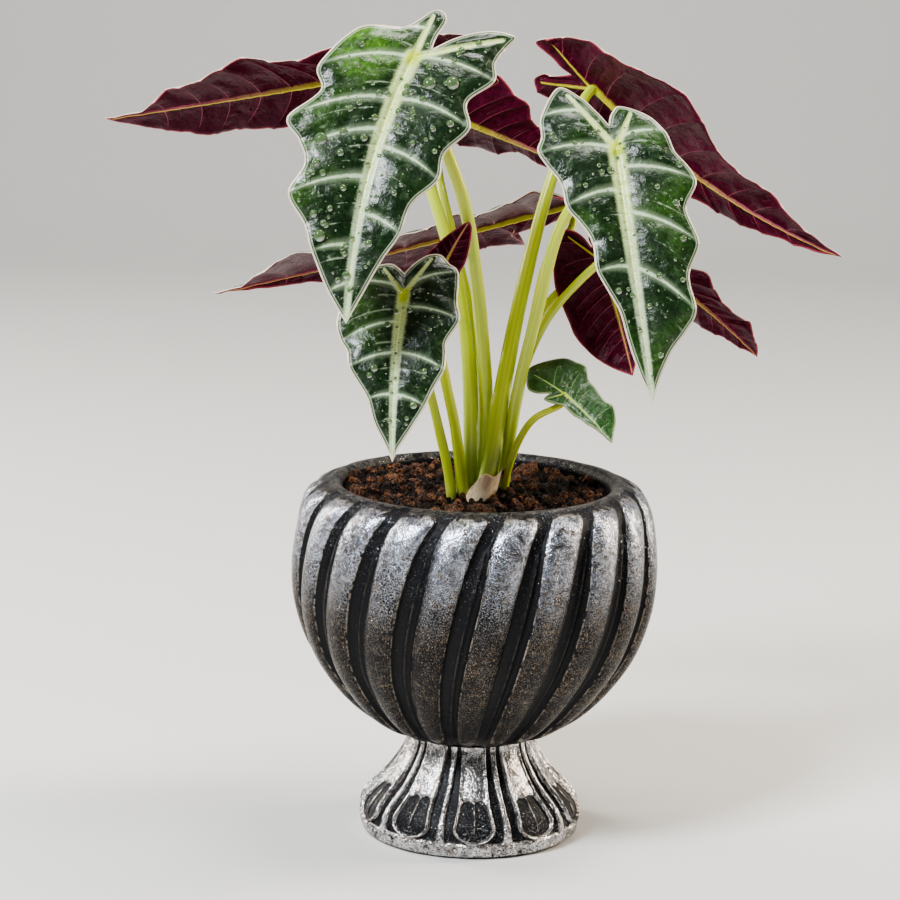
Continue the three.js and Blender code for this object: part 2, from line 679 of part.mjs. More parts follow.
const cormHole = corm(fitGap);
let soil = soilBody().subtract(cormHole);
let sleeve = paperSleeve(0);
leaves.forEach((leaf, i) => {
  const number = i + 1;
  const hole = leafStalk(leaf, fitGap);
  addPiece(`stalk_${number}`, toGeometry(leafStalk(leaf, 0).subtract(cormHole)), finishes.stalk);
  addPiece(`blade_${number}`, blade(leaf), finishes.blade);
  soil = soil.subtract(hole);
  sleeve = sleeve.subtract(hole);
});
soil = soil.subtract(paperSleeve(2 * fitGap));

addPiece("corm", toGeometry(corm(0)), finishes.corm);
addPiece("papery_sleeve", toGeometry(sleeve), finishes.sleeve);
addPiece("soil", toGeometry(soil), finishes.soil);

export default group;
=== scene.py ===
"""A potted alocasia in a ribbed, footed urn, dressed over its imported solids."""

import json
import math

import bmesh
import bpy
import numpy as np
from bpy.props import FloatProperty, FloatVectorProperty, IntProperty, PointerProperty
from mathutils import Matrix, Vector

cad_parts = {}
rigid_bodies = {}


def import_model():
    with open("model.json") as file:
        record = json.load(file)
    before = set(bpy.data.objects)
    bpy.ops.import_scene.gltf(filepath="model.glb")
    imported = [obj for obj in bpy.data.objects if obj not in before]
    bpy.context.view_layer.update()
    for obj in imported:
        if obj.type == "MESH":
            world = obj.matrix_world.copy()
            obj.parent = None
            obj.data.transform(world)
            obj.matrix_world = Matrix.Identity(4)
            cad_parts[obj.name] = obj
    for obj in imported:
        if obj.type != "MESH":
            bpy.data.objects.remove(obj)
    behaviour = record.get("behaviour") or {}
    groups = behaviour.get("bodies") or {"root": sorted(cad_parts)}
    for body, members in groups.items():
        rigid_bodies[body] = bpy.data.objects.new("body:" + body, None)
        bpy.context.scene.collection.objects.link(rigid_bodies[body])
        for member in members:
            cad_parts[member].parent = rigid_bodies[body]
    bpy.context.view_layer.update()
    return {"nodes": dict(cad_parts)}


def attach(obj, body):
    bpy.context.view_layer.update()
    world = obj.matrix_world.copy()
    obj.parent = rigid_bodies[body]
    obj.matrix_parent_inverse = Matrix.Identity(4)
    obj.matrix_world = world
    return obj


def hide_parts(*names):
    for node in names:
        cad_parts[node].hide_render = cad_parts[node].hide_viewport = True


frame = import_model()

bl_info = {
    "name": "Potted Alocasia",
    "version": (1, 0, 0),
    "blender": (4, 5, 0),
    "location": "View3D > Sidebar > Alocasia",
    "description": "Builds a potted alocasia with veined leaves in a ribbed urn",
    "category": "Object",
}

MM = 0.001
PER_SQUARE_CM = 1e4
BODY = "root"

# The urn, in millimetres: radius, height and, on the bowl, the degrees that a rib has turned.
# CHANNEL_DEPTH is a share of the depth at each point of the bowl's crest, and the steps and
# columns say how finely the meshes are cut.
RIM_HEIGHT = 155.4
MOUTH_RADIUS = 57.8
BOWL_CREST = [
    (27.5, 44.3, -4), (38.5, 48, -3), (50.5, 56, -2), (62, 68, -0.5), (72.3, 84, 1.5),
    (78, 102, 4), (79.4, 118, 6.5), (78.4, 132, 9), (76.2, 143, 11.5), (73, 150, 14),
    (68.5, 153.2, 16), (64.5, 154.8, 16.7), (61.5, RIM_HEIGHT, 17), (59.3, 154.9, 17.2),
    (MOUTH_RADIUS, 153.2, 17.4),
]
CHANNEL_DEPTH = [0.15, 0.5, 0.8, 1, 1, 1, 1, 1, 0.95, 0.75, 0.3, 0.06, 0, 0, 0]
BOWL_INSIDE = [
    (MOUTH_RADIUS, 149.5), (62, 146), (67, 139), (70, 128), (71, 114), (69, 97), (63, 81),
    (53.5, 67.5), (42, 57.5), (26, 51.5), (8, 51),
]
SOIL_GAP = 0.4
FLOOR_GAP = 0.3
BOWL_STEPS = 9
COLUMNS_PER_RIB = 32
FOOT_CREST = [
    (45.5, 0), (47.6, 1.2), (48.5, 4), (48.9, 8), (48.3, 11.5), (46.6, 15.5), (42.7, 20),
    (36.8, 26), (32.4, 32), (29.5, 37), (27.8, 41.5), (27.3, 44),
]
FOOT_STEPS = 10
COLUMNS_PER_TONGUE = 70

# The blades' plan, as in the solids. Each half is a fan of lines from the midrib, or from the
# vein of its lobe, to the margin. LINE_ROOTS holds the lines' roots in the order tip, stalk,
# lobe, notch: above 0 in percent of the way to the tip, below 0 of the way along the lobe.
LINE_ROOTS = [98, 86, 73, 61, 48, 36, 26, 17, 8, 0, -35, -70, -100, -70, -35, 0]
JAGGED_ROOTS = [98, 86, 73, 61, 48, 36, 26, 21, 14, 0, -35, -70, -100, -70, -35, 0]
# Side veins of the blades that are seen from below, where they stand closer
BACK_VEINS = [1.5, 2.5, 3.3, 4.1, 5, 6, 7, 8.3, 9.5, 11]
# A half's margin gives the outer ends of its lines and lobe the tip of its lobe's vein, along
# and across in percent of the blade's length. Crests are the lines on which the waved margin
# stands high, and veins the places of the side veins, counted in lines from the tip.
HALVES = {
    "broad_left": {
        "margin": [
            (100, 0), (91, 9), (79, 18), (70, 23), (61, 31), (49, 28), (41, 32), (34, 38), (21, 29),
            (12, 32), (-6.5, 21.5), (-10.3, 7), (-21, -3.5), (-18.5, -8.5), (-10, -6.5), (-5, -6),
        ],
        "lobe": (-18, -3.4), "crests": [2, 4, 7, 9], "veins": [1, 2, 4, 5.6, 7, 9, 11],
    },
    "broad_right": {
        "margin": [
            (100, 0), (88, 3.5), (76, 7), (66, 11), (54, 12.5), (43.5, 19.5), (33, 19.5), (22, 26),
            (12, 23), (2, 30.5), (-6, 29.5), (-13, 32), (-18, 34), (-18, 25), (-13, 15), (-5, 6),
        ],
        "lobe": (-15.5, 30), "crests": [3, 5, 7, 9, 12], "veins": [3, 5, 7, 9],
    },
    "slender_left": {
        "margin": [
            (100, 0), (89, 4), (76, 7), (64, 9), (49, 15.5), (37, 15.5), (29, 19), (22, 23.5),
            (12, 24), (-1, 30.5), (-8, 28), (-16, 27), (-28, 18), (-23, 10), (-17, 5), (-10, 1),
        ],
        "lobe": (-24, 15), "crests": [4, 7, 9, 11], "veins": [4, 7, 9, 11],
    },
    "slender_right": {
        "margin": [
            (100, 0), (91, 4), (82, 9.5), (75, 16), (68, 20.5), (54, 20), (42, 25.5), (28, 23),
            (17, 28.5), (4, 22.5), (-4, 20), (-12, 14.5), (-17.5, 5), (-15.5, 1.5), (-13, 0),
            (-10, -1),
        ],
        "lobe": (-13.5, 8), "crests": [4, 6, 8, 10], "veins": [4, 6, 8, 10],
    },
    "short_left": {
        "margin": [
            (100, 0), (89, 6), (78, 12.5), (65, 17), (56, 23), (47, 29), (37, 31), (31, 35),
            (22, 38), (8, 37), (-4, 36), (-13, 27), (-18.5, 14), (-19.4, 8), (-17.3, 4), (-14, 0.5),
        ],
        "lobe": (-15.5, 12.5), "crests": [5, 8, 10], "veins": [3, 5, 7, 10],
    },
    "short_right": {
        "margin": [
            (100, 0), (91, 3.5), (80, 10), (67, 17), (55, 22), (45, 27), (35, 27.5), (27, 27.5),
            (14, 34), (2, 32), (-16, 31.4), (-22, 25.6), (-27.5, 20), (-26.5, 12), (-20, 4),
            (-14, -0.5),
        ],
        "lobe": (-24, 15), "crests": [5, 8, 10], "veins": [3, 5, 8, 10],
    },
    "long_left": {
        "margin": [
            (100, 0), (87, 9), (77, 10.8), (68, 14.5), (60, 16.4), (47, 16.5), (36, 17.5), (25, 19),
            (14, 20), (2, 22), (-9, 21), (-19, 18.5), (-30, 13), (-25, 7), (-18, 3), (-10, 0),
        ],
        "lobe": (-26, 10.5), "crests": [1, 4, 7, 9, 11], "veins": BACK_VEINS,
    },
    "long_right": {
        "margin": [
            (100, 0), (86, 2.6), (76, 9.5), (65, 14.5), (55, 20), (46, 22), (38, 20.2), (29, 17.7),
            (18, 18.5), (4, 20), (-9, 20), (-19, 18), (-30, 13), (-25, 7), (-18, 3), (-10, 0),
        ],
        "lobe": (-26, 10.5), "crests": [2, 5, 8, 10], "veins": BACK_VEINS,
    },
    "jagged_left": {
        "margin": [
            (100, 0), (87, 5.5), (75, 10.6), (63, 17.6), (51, 23), (39, 23.7), (24.6, 16.6),
            (13.8, 21.4), (16.8, 12), (10.7, 9.6), (4.7, 7.6), (-0.7, 5.8), (-6.3, 4.8),
            (-5.8, 3.7), (-4.5, 2.9), (-2.7, 1.6),
        ],
        "lobe": (-4.9, 3.9), "crests": [4, 7], "veins": BACK_VEINS,
    },
    "jagged_right": {
        "margin": [
            (100, 0), (92, 2.8), (76, 19.6), (64, 18.6), (51.5, 15.7), (39, 15.7), (31, 17.5),
            (25.5, 17.3), (18, 24), (9, 25), (3, 14.3), (-2, 6.1), (-7.4, -0.2), (-6.5, -1.8),
            (-4.5, -2.3), (-2.7, -1.6),
        ],
        "lobe": (-5.5, 0.5), "crests": [2, 6, 9], "veins": BACK_VEINS,
    },
    "curled_left": {
        "margin": [
            (100, 0), (93, 6.5), (84, 12), (74, 18), (64, 22.5), (52, 28), (41, 32), (30, 33),
            (17, 33), (4, 34), (-9, 31), (-19, 27), (-30, 18), (-25, 9), (-18, 4), (-10, 0),
        ],
        "lobe": (-26, 14), "crests": [3, 6, 9], "veins": BACK_VEINS,
    },
    "curled_right": {
        "margin": [
            (100, 0), (95, 6.5), (86, 10.5), (77, 13.8), (66, 17), (53, 20), (43, 21), (33, 21),
            (18, 23), (3, 26), (-9, 25), (-19, 22), (-30, 15), (-25, 9), (-18, 4), (-10, 0),
        ],
        "lobe": (-26, 12), "crests": [3, 6, 9], "veins": BACK_VEINS,
    },
    "wide_left": {
        "margin": [
            (100, 0), (90, 3.6), (79, 6.8), (68, 10.5), (57, 13), (45.6, 17), (36, 26),
            (25.6, 29.7), (12, 28), (3, 23.5), (-9, 17.6), (-17, 12), (-24.2, -0.7), (-19.5, -1.3),
            (-13.9, -1.9), (-8.6, -3),
        ],
        "lobe": (-20, 5.5), "crests": [3, 7, 10], "veins": BACK_VEINS,
    },
    "wide_right": {
        "margin": [
            (100, 0), (90, 3.6), (79, 6.6), (69, 10.4), (59, 14.5), (48, 13), (37, 15), (27, 17.5),
            (15, 19.5), (3, 20.5), (-9.7, 20.2), (-15, 19.4), (-18.1, 15.7), (-16.5, 10.8),
            (-14.2, 9.2), (-8.6, 3),
        ],
        "lobe": (-15.5, 14), "crests": [4, 7, 10], "veins": BACK_VEINS,
    },
    "shaded_left": {
        "margin": [
            (100, 0), (90, 5), (79, 9), (67, 13), (55, 16), (44, 19), (35, 20), (24, 21), (13, 21),
            (2, 22), (-9, 21), (-19, 19), (-28, 13), (-24, 6), (-19, 1), (-14.7, -6),
        ],
        "lobe": (-23, 10), "crests": [3, 6, 9], "veins": BACK_VEINS,
    },
    "shaded_right": {
        "margin": [
            (100, 0), (94, 9), (87.6, 17.4), (80, 25), (73.4, 30.7), (62, 37), (52.4, 40.7),
            (41, 42.5), (26, 44), (8.8, 45.3), (-11.4, 41), (-24.8, 35), (-34, 24.4), (-31.7, 16),
            (-24, 9.5), (-14.7, 6),
        ],
        "lobe": (-28, 22), "crests": [4, 7, 10], "veins": BACK_VEINS,
    },
    "drooping_left": {
        "margin": [
            (100, 0), (93, 10), (84, 18), (76, 22.5), (64, 23.5), (53, 26), (42, 31), (33, 35),
            (20.7, 30), (8, 30), (-5, 28), (-16, 24), (-27, 16), (-23, 9), (-17, 4), (-10, 0),
        ],
        "lobe": (-23, 13), "crests": [3, 7, 10], "veins": BACK_VEINS,
    },
    "drooping_right": {
        "margin": [
            (100, 0), (92.5, 0.6), (83, 3), (74, 5.3), (64, 10.5), (54, 15.7), (43, 19), (32, 22),
            (19, 25), (6, 28), (-7, 27), (-18, 23), (-28, 16), (-24, 9), (-17, 4), (-10, 0),
        ],
        "lobe": (-24, 13), "crests": [5, 8, 10], "veins": BACK_VEINS,
    },
    "small_left": {
        "margin": [
            (100, 0), (90, 0.5), (77, 2.6), (66, 5.5), (56, 8.5), (45, 10.5), (34, 12.4),
            (23, 12.8), (12, 13), (2, 16), (-5, 19), (-11, 21), (-17, 21), (-18, 18), (-17.5, 14),
            (-16, 11),
        ],
        "lobe": (-13, 18), "crests": [5, 8], "veins": [5, 8],
    },
    "small_right": {
        "margin": [
            (100, 0), (88, 15), (77, 27), (61, 35.4), (47, 34), (34, 35), (20, 38), (5.5, 41),
            (-14, 52), (-33, 52.5), (-52, 46), (-70, 25), (-75, 2.6), (-51, -20), (-35, -20),
            (-16, -11),
        ],
        "lobe": (-60, -1), "crests": [3, 8], "veins": [3, 6, 8, 10],
    },
    "rear_left": {
        "margin": [
            (100, 0), (89, 3.5), (76, 6.5), (66, 8.5), (58, 9.8), (51.7, 14.6), (46.5, 21.7),
            (37.4, 23.8), (26.6, 28.2), (12, 29.5), (-3, 28.5), (-16, 27), (-28, 18), (-23, 10),
            (-17, 5), (-10, 1),
        ],
        "lobe": (-24, 15), "crests": [4, 8, 11], "veins": BACK_VEINS,
    },
    "rear_right": {
        "margin": [
            (100, 0), (86, 5), (76, 9), (66.6, 11.2), (55, 12.2), (46, 17.6), (36.5, 22.7),
            (25, 23.2), (14, 26), (4, 24), (-4, 21), (-12, 14.5), (-17.5, 5), (-15.5, 1.5),
            (-13, 0), (-10, -1),
        ],
        "lobe": (-13.5, 8), "crests": [4, 6, 8, 10], "veins": BACK_VEINS,
    },
}

# The leaves in millimetres, as in the solids: where the stalk meets the blade, the blade's tip,
# which way its upper side looks and the two halves. Sweep bows the midrib to a side, arch lifts
# its middle, folds lift each half, cup curls it back and wave is the height of the margin's
# waves. The stalk has a radius at its foot and at its top, and a route above the soil. Glow is
# where light comes through the blade: along and across in percent, its reach in millimetres,
# and its strength.
LEAVES = [
    {
        "stalk": (-30, -60, 342), "tip": (-54, -100, 240), "face": (0.05, -1, 0.35),
        "halves": ("broad_left", "broad_right"), "sweep": -5, "arch": 7,
        "folds": (0.22, 0.22), "cup": 0.006, "wave": 1.2, "radii": (3.5, 2.4),
        "glow": [
            (1, -18, 19, 0.9), (30, -32, 9, 0.35), (45, -28, 8, 0.3), (60, -27, 9, 0.35),
        ],
        "route": [
            (2.2, -2.2, 150), (2.9, -2.5, 190), (1.2, -8, 215), (-2.5, -20, 248), (-9, -33, 283),
        ],
    },
    {
        "stalk": (53, -50, 306), "tip": (69.5, -85, 208), "face": (0.1, -1, 0.35),
        "halves": ("slender_left", "slender_right"), "sweep": -1, "arch": 6,
        "folds": (0.25, 0.25), "cup": 0.007, "wave": 1.1, "radii": (2.8, 2.2),
        "glow": [(-3, 14, 8, 0.3), (30, -18, 9, 0.3)],
        "route": [
            (10.8, -6, 150), (13, -7.2, 170), (16.9, -13, 200), (24, -23, 235), (33, -36, 274),
        ],
    },
    {
        "stalk": (-32, -60, 245.5), "tip": (-35, -85, 181), "face": (0, -1, 0.4),
        "halves": ("short_left", "short_right"), "sweep": -2, "arch": 4.5,
        "folds": (0.2, 0.2), "cup": 0.008, "wave": 0.9, "radii": (2.2, 1.8),
        "route": [(-10.6, -16.5, 150), (-12.7, -17.8, 164.6), (-16.4, -21, 181), (-24, -33, 212)],
    },
    {
        "stalk": (-37, 25, 329.5), "tip": (-165, 45, 303), "face": (0, 0.66, 0.75),
        "halves": ("long_left", "long_right"), "sweep": -0.5, "arch": 0,
        "folds": (-0.1, -0.1), "cup": 0.001, "wave": 1.6, "radii": (3.1, 2.3),
        "route": [(-2.9, -7.6, 150), (-4.3, -7, 199), (-9, -2, 238), (-19, 5, 271)],
    },
    {
        "stalk": (38, 62, 267.7), "tip": (-118, 55, 225.7), "face": (0, 0.45, 0.89),
        "halves": ("jagged_left", "jagged_right"), "sweep": -8, "arch": 3.5,
        "roots": JAGGED_ROOTS,
        "folds": (-0.12, -0.12), "cup": 0.001, "wave": 1.6, "radii": (2.3, 1.8),
        "route": [
            (12.5, 12, 150), (13.5, 14, 169), (16.6, 15, 185), (20, 20, 206), (24, 31, 225),
            (29, 45, 244),
        ],
    },
    {
        "stalk": (-19, -44, 247.7), "tip": (-5.8, -38, 273.1), "face": (0.1, 1, -0.3),
        "halves": ("curled_left", "curled_right"), "sweep": -3, "arch": 1,
        "folds": (0.5, 0.5), "cup": 0.01, "wave": 0.5, "radii": (2.8, 1.6),
        "route": [(-5.9, -13.6, 150), (-9.6, -19, 181), (-14.3, -28.5, 204), (-18, -45, 228)],
    },
    {
        "stalk": (47, 40, 322), "tip": (156, 25, 252), "face": (0.15, 0.69, 0.72),
        "halves": ("wide_left", "wide_right"), "sweep": 4, "arch": -4,
        "folds": (-0.1, 0), "cup": 0.001, "wave": 1.6, "radii": (4.3, 2.1),
        "route": [
            (3.2, -12.4, 150), (5, -12, 162.8), (7.5, -9.9, 178), (10.5, -6.9, 200), (18, 3, 240),
            (29, 19, 283),
        ],
    },
    {
        "stalk": (51.7, 5, 250.8), "tip": (65.5, -5, 203.6), "face": (0.1, 1, 0.1),
        "halves": ("shaded_left", "shaded_right"), "sweep": 0, "arch": 3,
        "folds": (0.15, 0.15), "cup": 0.006, "wave": 0.8, "radii": (2.3, 1.7),
        "route": [(9.8, 1.6, 150), (18, 2.5, 200), (30, 0, 229)],
    },
    {
        "stalk": (67, 25, 250), "tip": (122, 35, 206), "face": (0.3, 0.6, 0.75),
        "halves": ("drooping_left", "drooping_right"), "sweep": -8, "arch": -1,
        "folds": (0.04, 0.04), "cup": 0.002, "wave": 1, "radii": (2.3, 1.7),
        "route": [(8.8, 7.4, 150), (17, 9, 196), (27, 14, 228), (45, 19, 243)],
    },
    {
        "stalk": (36, -20, 198), "tip": (56, -34, 180), "face": (0.1, -0.75, 0.65),
        "halves": ("small_left", "small_right"), "sweep": 0, "arch": 2,
        "folds": (-0.4, 0.15), "cup": 0.004, "wave": 0.6, "radii": (1.9, 1.4),
        "route": [(11.6, -11.6, 150), (12.9, -11.8, 162), (18.6, -13, 178.5), (24, -15, 186.4)],
    },
    {
        "stalk": (-23, 75, 307), "tip": (53, 85, 277), "face": (0, 0.79, 0.61),
        "halves": ("rear_left", "rear_right"), "sweep": 2, "arch": 2,
        "folds": (0.4, 0.4), "cup": 0.003, "wave": 1.6, "radii": (2.4, 1.8),
        "route": [(-4.6, 0.4, 150), (-2, 3, 213), (-10, 9, 250), (-18, 26, 279), (-21, 48, 292)],
    },
]
# In millimetres: the height of the stalks' lower ends in the soil, how deep their upper ends lie
# under the blades, and the blades' thickness. The knee of a stalk is KNEE_LENGTH of its radii
# long. VEIN_BOW is how far a blade's lines bow towards the stalk, as a share of their length,
# and ROW_CROWDING how closely the blade's rows crowd round each line.
STALK_FOOT = 131
SEAT_DEPTH = 1.2
KNEE_LENGTH = 3.5
BLADE_THICKNESS = 0.65
VEIN_BOW = 0.08
ROW_CROWDING = 0.12
# Signs of a blade's left and right half, and the materials of its two sides
SIDES = (-1, 1)
UPPER, LOWER = 0, 1
FRONT_LEAVES = (1, 2, 3)
YOUNG_LEAF = 10
WET_LEAVES = (*FRONT_LEAVES, YOUNG_LEAF)
# The line, in millimetres, that the sleeve wraps round
SLEEVE_ROUTE = [(0.2, -12.6, 146), (1.2, -12.4, 151), (3.8, -11.4, 158), (6.2, -10.9, 165)]
SLEEVE_THICKNESS = 0.45
# Large drops on the first leaf: along and across in percent, and radius in millimetres. A drop
# is larger than the one that was measured by DROP_SWELL, which takes in its dark rim, and is
# longer down the leaf and flatter than a ball.
LARGE_DROPS = [
    (6.5, 16.3, 2.4), (8.7, 7.8, 2.3), (39, -23.9, 2.3), (34, -17.7, 1.4), (26, -16.6, 1.3),
    (47.5, -23.7, 1.4), (51, -20.5, 1.2), (73, -16.3, 2.1), (54.5, -12.5, 1.2), (66.5, -20.6, 1.4),
    (52, 5.3, 1.1), (21.5, 5, 1.3), (17, -8.8, 1.2), (86.5, -6.3, 1.1), (68.5, -15.3, 1.1),
    (27.5, 1.2, 1.1), (15.5, 7.3, 1.2), (62.5, -15.4, 1.1), (53.5, -26, 1.2),
]
DROP_SWELL = 1.12
DROP_LENGTH = 1.06
DROP_HEIGHT = 0.72
# Scattered drops: the least gap between their middles and the smallest radius, in metres
DROP_GAP = 0.0021
SMALLEST_DROP = 0.00032
# Crumbs: the smallest as a share of the largest, and the seed of their places
CRUMB_RANGE = 0.28
CRUMB_SEED = 7

# Fixed colours of the finishes: the metal's spots and its painted pale glints, the greens of the
# stalks and their knees, the coir with its painted highlights and painted pit shade, the dry sleeve,
# the corm and the water, painted green where the leaf shows through and bright where a caustic would
# fall
SPOT_TAN = (0.20, 0.145, 0.095, 1)
PALE_GLINT = (0.80, 0.72, 0.60, 1)
DARK_GLINT = (0.02, 0.019, 0.018, 1)
TARNISH = (0.075, 0.072, 0.075, 1)
RUBBED_EDGE = (0.36, 0.31, 0.25, 1)
KNEE_GREEN = (0.46, 0.56, 0.03, 1)
FIBRE_GREEN = (0.64, 0.68, 0.08, 1)
FURROW_GREEN = (0.22, 0.32, 0.03, 1)
BLOTCH_GREEN = (0.30, 0.36, 0.06, 1)
PALE_FOOT = (0.42, 0.56, 0.13, 1)
SOILED_SKIN = (0.13, 0.07, 0.03, 1)
COIR_SHADE = (0.004, 0.0016, 0.0012, 1)
COIR_PAINTED_PIT_SHADE = (0.003, 0.0015, 0.001, 1)
COIR_PAINTED_HIGHLIGHT = (0.26, 0.105, 0.045, 1)
DRY_TAN = (0.60, 0.42, 0.27, 1)
DRY_STRAW = (0.80, 0.66, 0.44, 1)
DRY_STAIN = (0.24, 0.15, 0.11, 1)
DRY_CORNER = (0.05, 0.02, 0.012, 1)
DRY_RIM = (0.20, 0.11, 0.06, 1)
DARK_BARK = (0.045, 0.022, 0.012, 1)
LIGHT_BARK = (0.20, 0.115, 0.06, 1)
WATER_PAINTED_SEEN_GREEN = (0.16, 0.25, 0.11, 1)
WATER_PAINTED_CAUSTIC = (0.95, 0.98, 0.86, 1)
# The side of a drop, away from the light, that glows
GLOWING_SIDE = (0.38, -0.42, -0.82)

# The stage, in metres and degrees: each lamp's name, place, size, power and colour
LIT_POINT = (0, 0, 0.2)
LIGHTS = (
    ("key", (-0.95, -1.1, 1.5), (0.5, 0.5), 60, (0.92, 0.96, 1)),
    ("top", (0.4, 0.1, 2.0), (0.6, 0.6), 24, (1, 0.98, 0.94)),
    ("left_rim", (-1.2, 0.7, 0.7), (0.3, 1.0), 18, (1, 0.93, 0.84)),
    ("right_rim", (1.3, 0.3, 0.7), (0.3, 1.0), 22, (1, 0.88, 0.72)),
)
CAMERA_PLACE = (-0.0118, -1.411, 0.467)
CAMERA_PITCH = 11.94
CAMERA_ROLL = 1.2
SENSOR_WIDTH = 36
FOCAL_LENGTH = 134.24


def color_setting(name, description, default):
    """A colour that a user can change."""
    return FloatVectorProperty(
        name=name, description=description, subtype="COLOR", default=default, min=0, max=1)


def length_setting(name, description, default, low, high):
    """A length that a user can change, given in millimetres and kept in metres."""
    return FloatProperty(
        name=name, description=description, unit="LENGTH", precision=5, default=default * MM,
        min=low * MM, max=high * MM)


def in_mm(metres):
    """A kept length in millimetres, without the noise of its single precision."""
    return round(metres / MM, 4)


class UrnSettings(bpy.types.PropertyGroup):
    """Sizes and finish of the urn."""

    rib_count: IntProperty(
        name="Ribs", description="Number of ribs round the bowl", default=20, min=6, max=40)
    rib_depth: length_setting("Rib depth", "How deep the channels between the ribs are", 4.2, 0.5, 8)
    tongue_count: IntProperty(
        name="Tongues", description="Number of leaf-like tongues round the foot",
        default=10, min=4, max=16)
    tongue_turn: FloatProperty(
        name="Tongue turn", description="How far the front tongue is turned to the right",
        unit="ROTATION", default=math.radians(2.4), min=-0.35, max=0.35)
    # The bright bluish tint of the metal high on the bowl is partly a painted highlight
    silver: color_setting("Silver", "Rubbed metal high on the bowl", (0.62, 0.67, 0.78))
    # The darker metal low on the bowl is partly its bronze tone and partly painted shade
    bronze_and_painted_shade: color_setting("Bronze", "Browner metal low on the bowl", (0.048, 0.040, 0.034))
    foot_silver: color_setting("Foot silver", "Rubbed metal of the foot", (0.82, 0.80, 0.80))
    patina: color_setting("Patina", "Dark coat in the channels", (0.0045, 0.0045, 0.006))


class LeafSettings(bpy.types.PropertyGroup):
    """Detail and colours of the leaves."""

    rows: IntProperty(
        name="Rows", description="Rows of faces between two neighbouring lines of a blade",
        default=8, min=2, max=16)
    columns: IntProperty(
        name="Columns", description="Faces from the midrib to the margin", default=26, min=8, max=60)
    front_detail: FloatProperty(
        name="Front detail", description="How many times finer the leaves at the front are",
        default=1.5, min=1, max=2)
    quilting: length_setting("Quilting", "How far the blade bulges between its veins", 1.2, 0, 3)
    lamina: color_setting("Upper side", "Dark green of the upper side", (0.007, 0.021, 0.0055))
    lamina_bright: color_setting(
        "Bright patches", "Brighter green where light comes through", (0.085, 0.20, 0.022))
    vein: color_setting("Veins", "Pale green of the side veins", (0.52, 0.64, 0.42))
    midrib: color_setting("Midrib", "Pale yellow-green of the midrib", (0.60, 0.72, 0.30))
    underside: color_setting("Underside", "Burgundy of the underside", (0.050, 0.002, 0.012))
    stalk: color_setting("Stalks", "Yellow-green of the stalks", (0.44, 0.56, 0.028))


class SoilSettings(bpy.types.PropertyGroup):
    """The coir in the urn."""

    level: length_setting("Level", "Height of the soil's surface", 150, 100, 155)
    crumbs: FloatProperty(
        name="Crumbs", description="Crumbs on each square centimetre", default=12, min=0, max=60)
    crumb_size: length_setting("Crumb size", "Radius of a large crumb", 3.1, 0.5, 6)
    color: color_setting("Coir", "Brown of the moist coir", (0.026, 0.008, 0.0034))


class WaterSettings(bpy.types.PropertyGroup):
    """Drops of water on the upper leaves."""

    density: FloatProperty(
        name="Drops", description="Most drops on each square centimetre", default=5, min=0, max=20)
    largest: length_setting("Largest drop", "Radius of the largest scattered drop", 1.7, 0.3, 4)


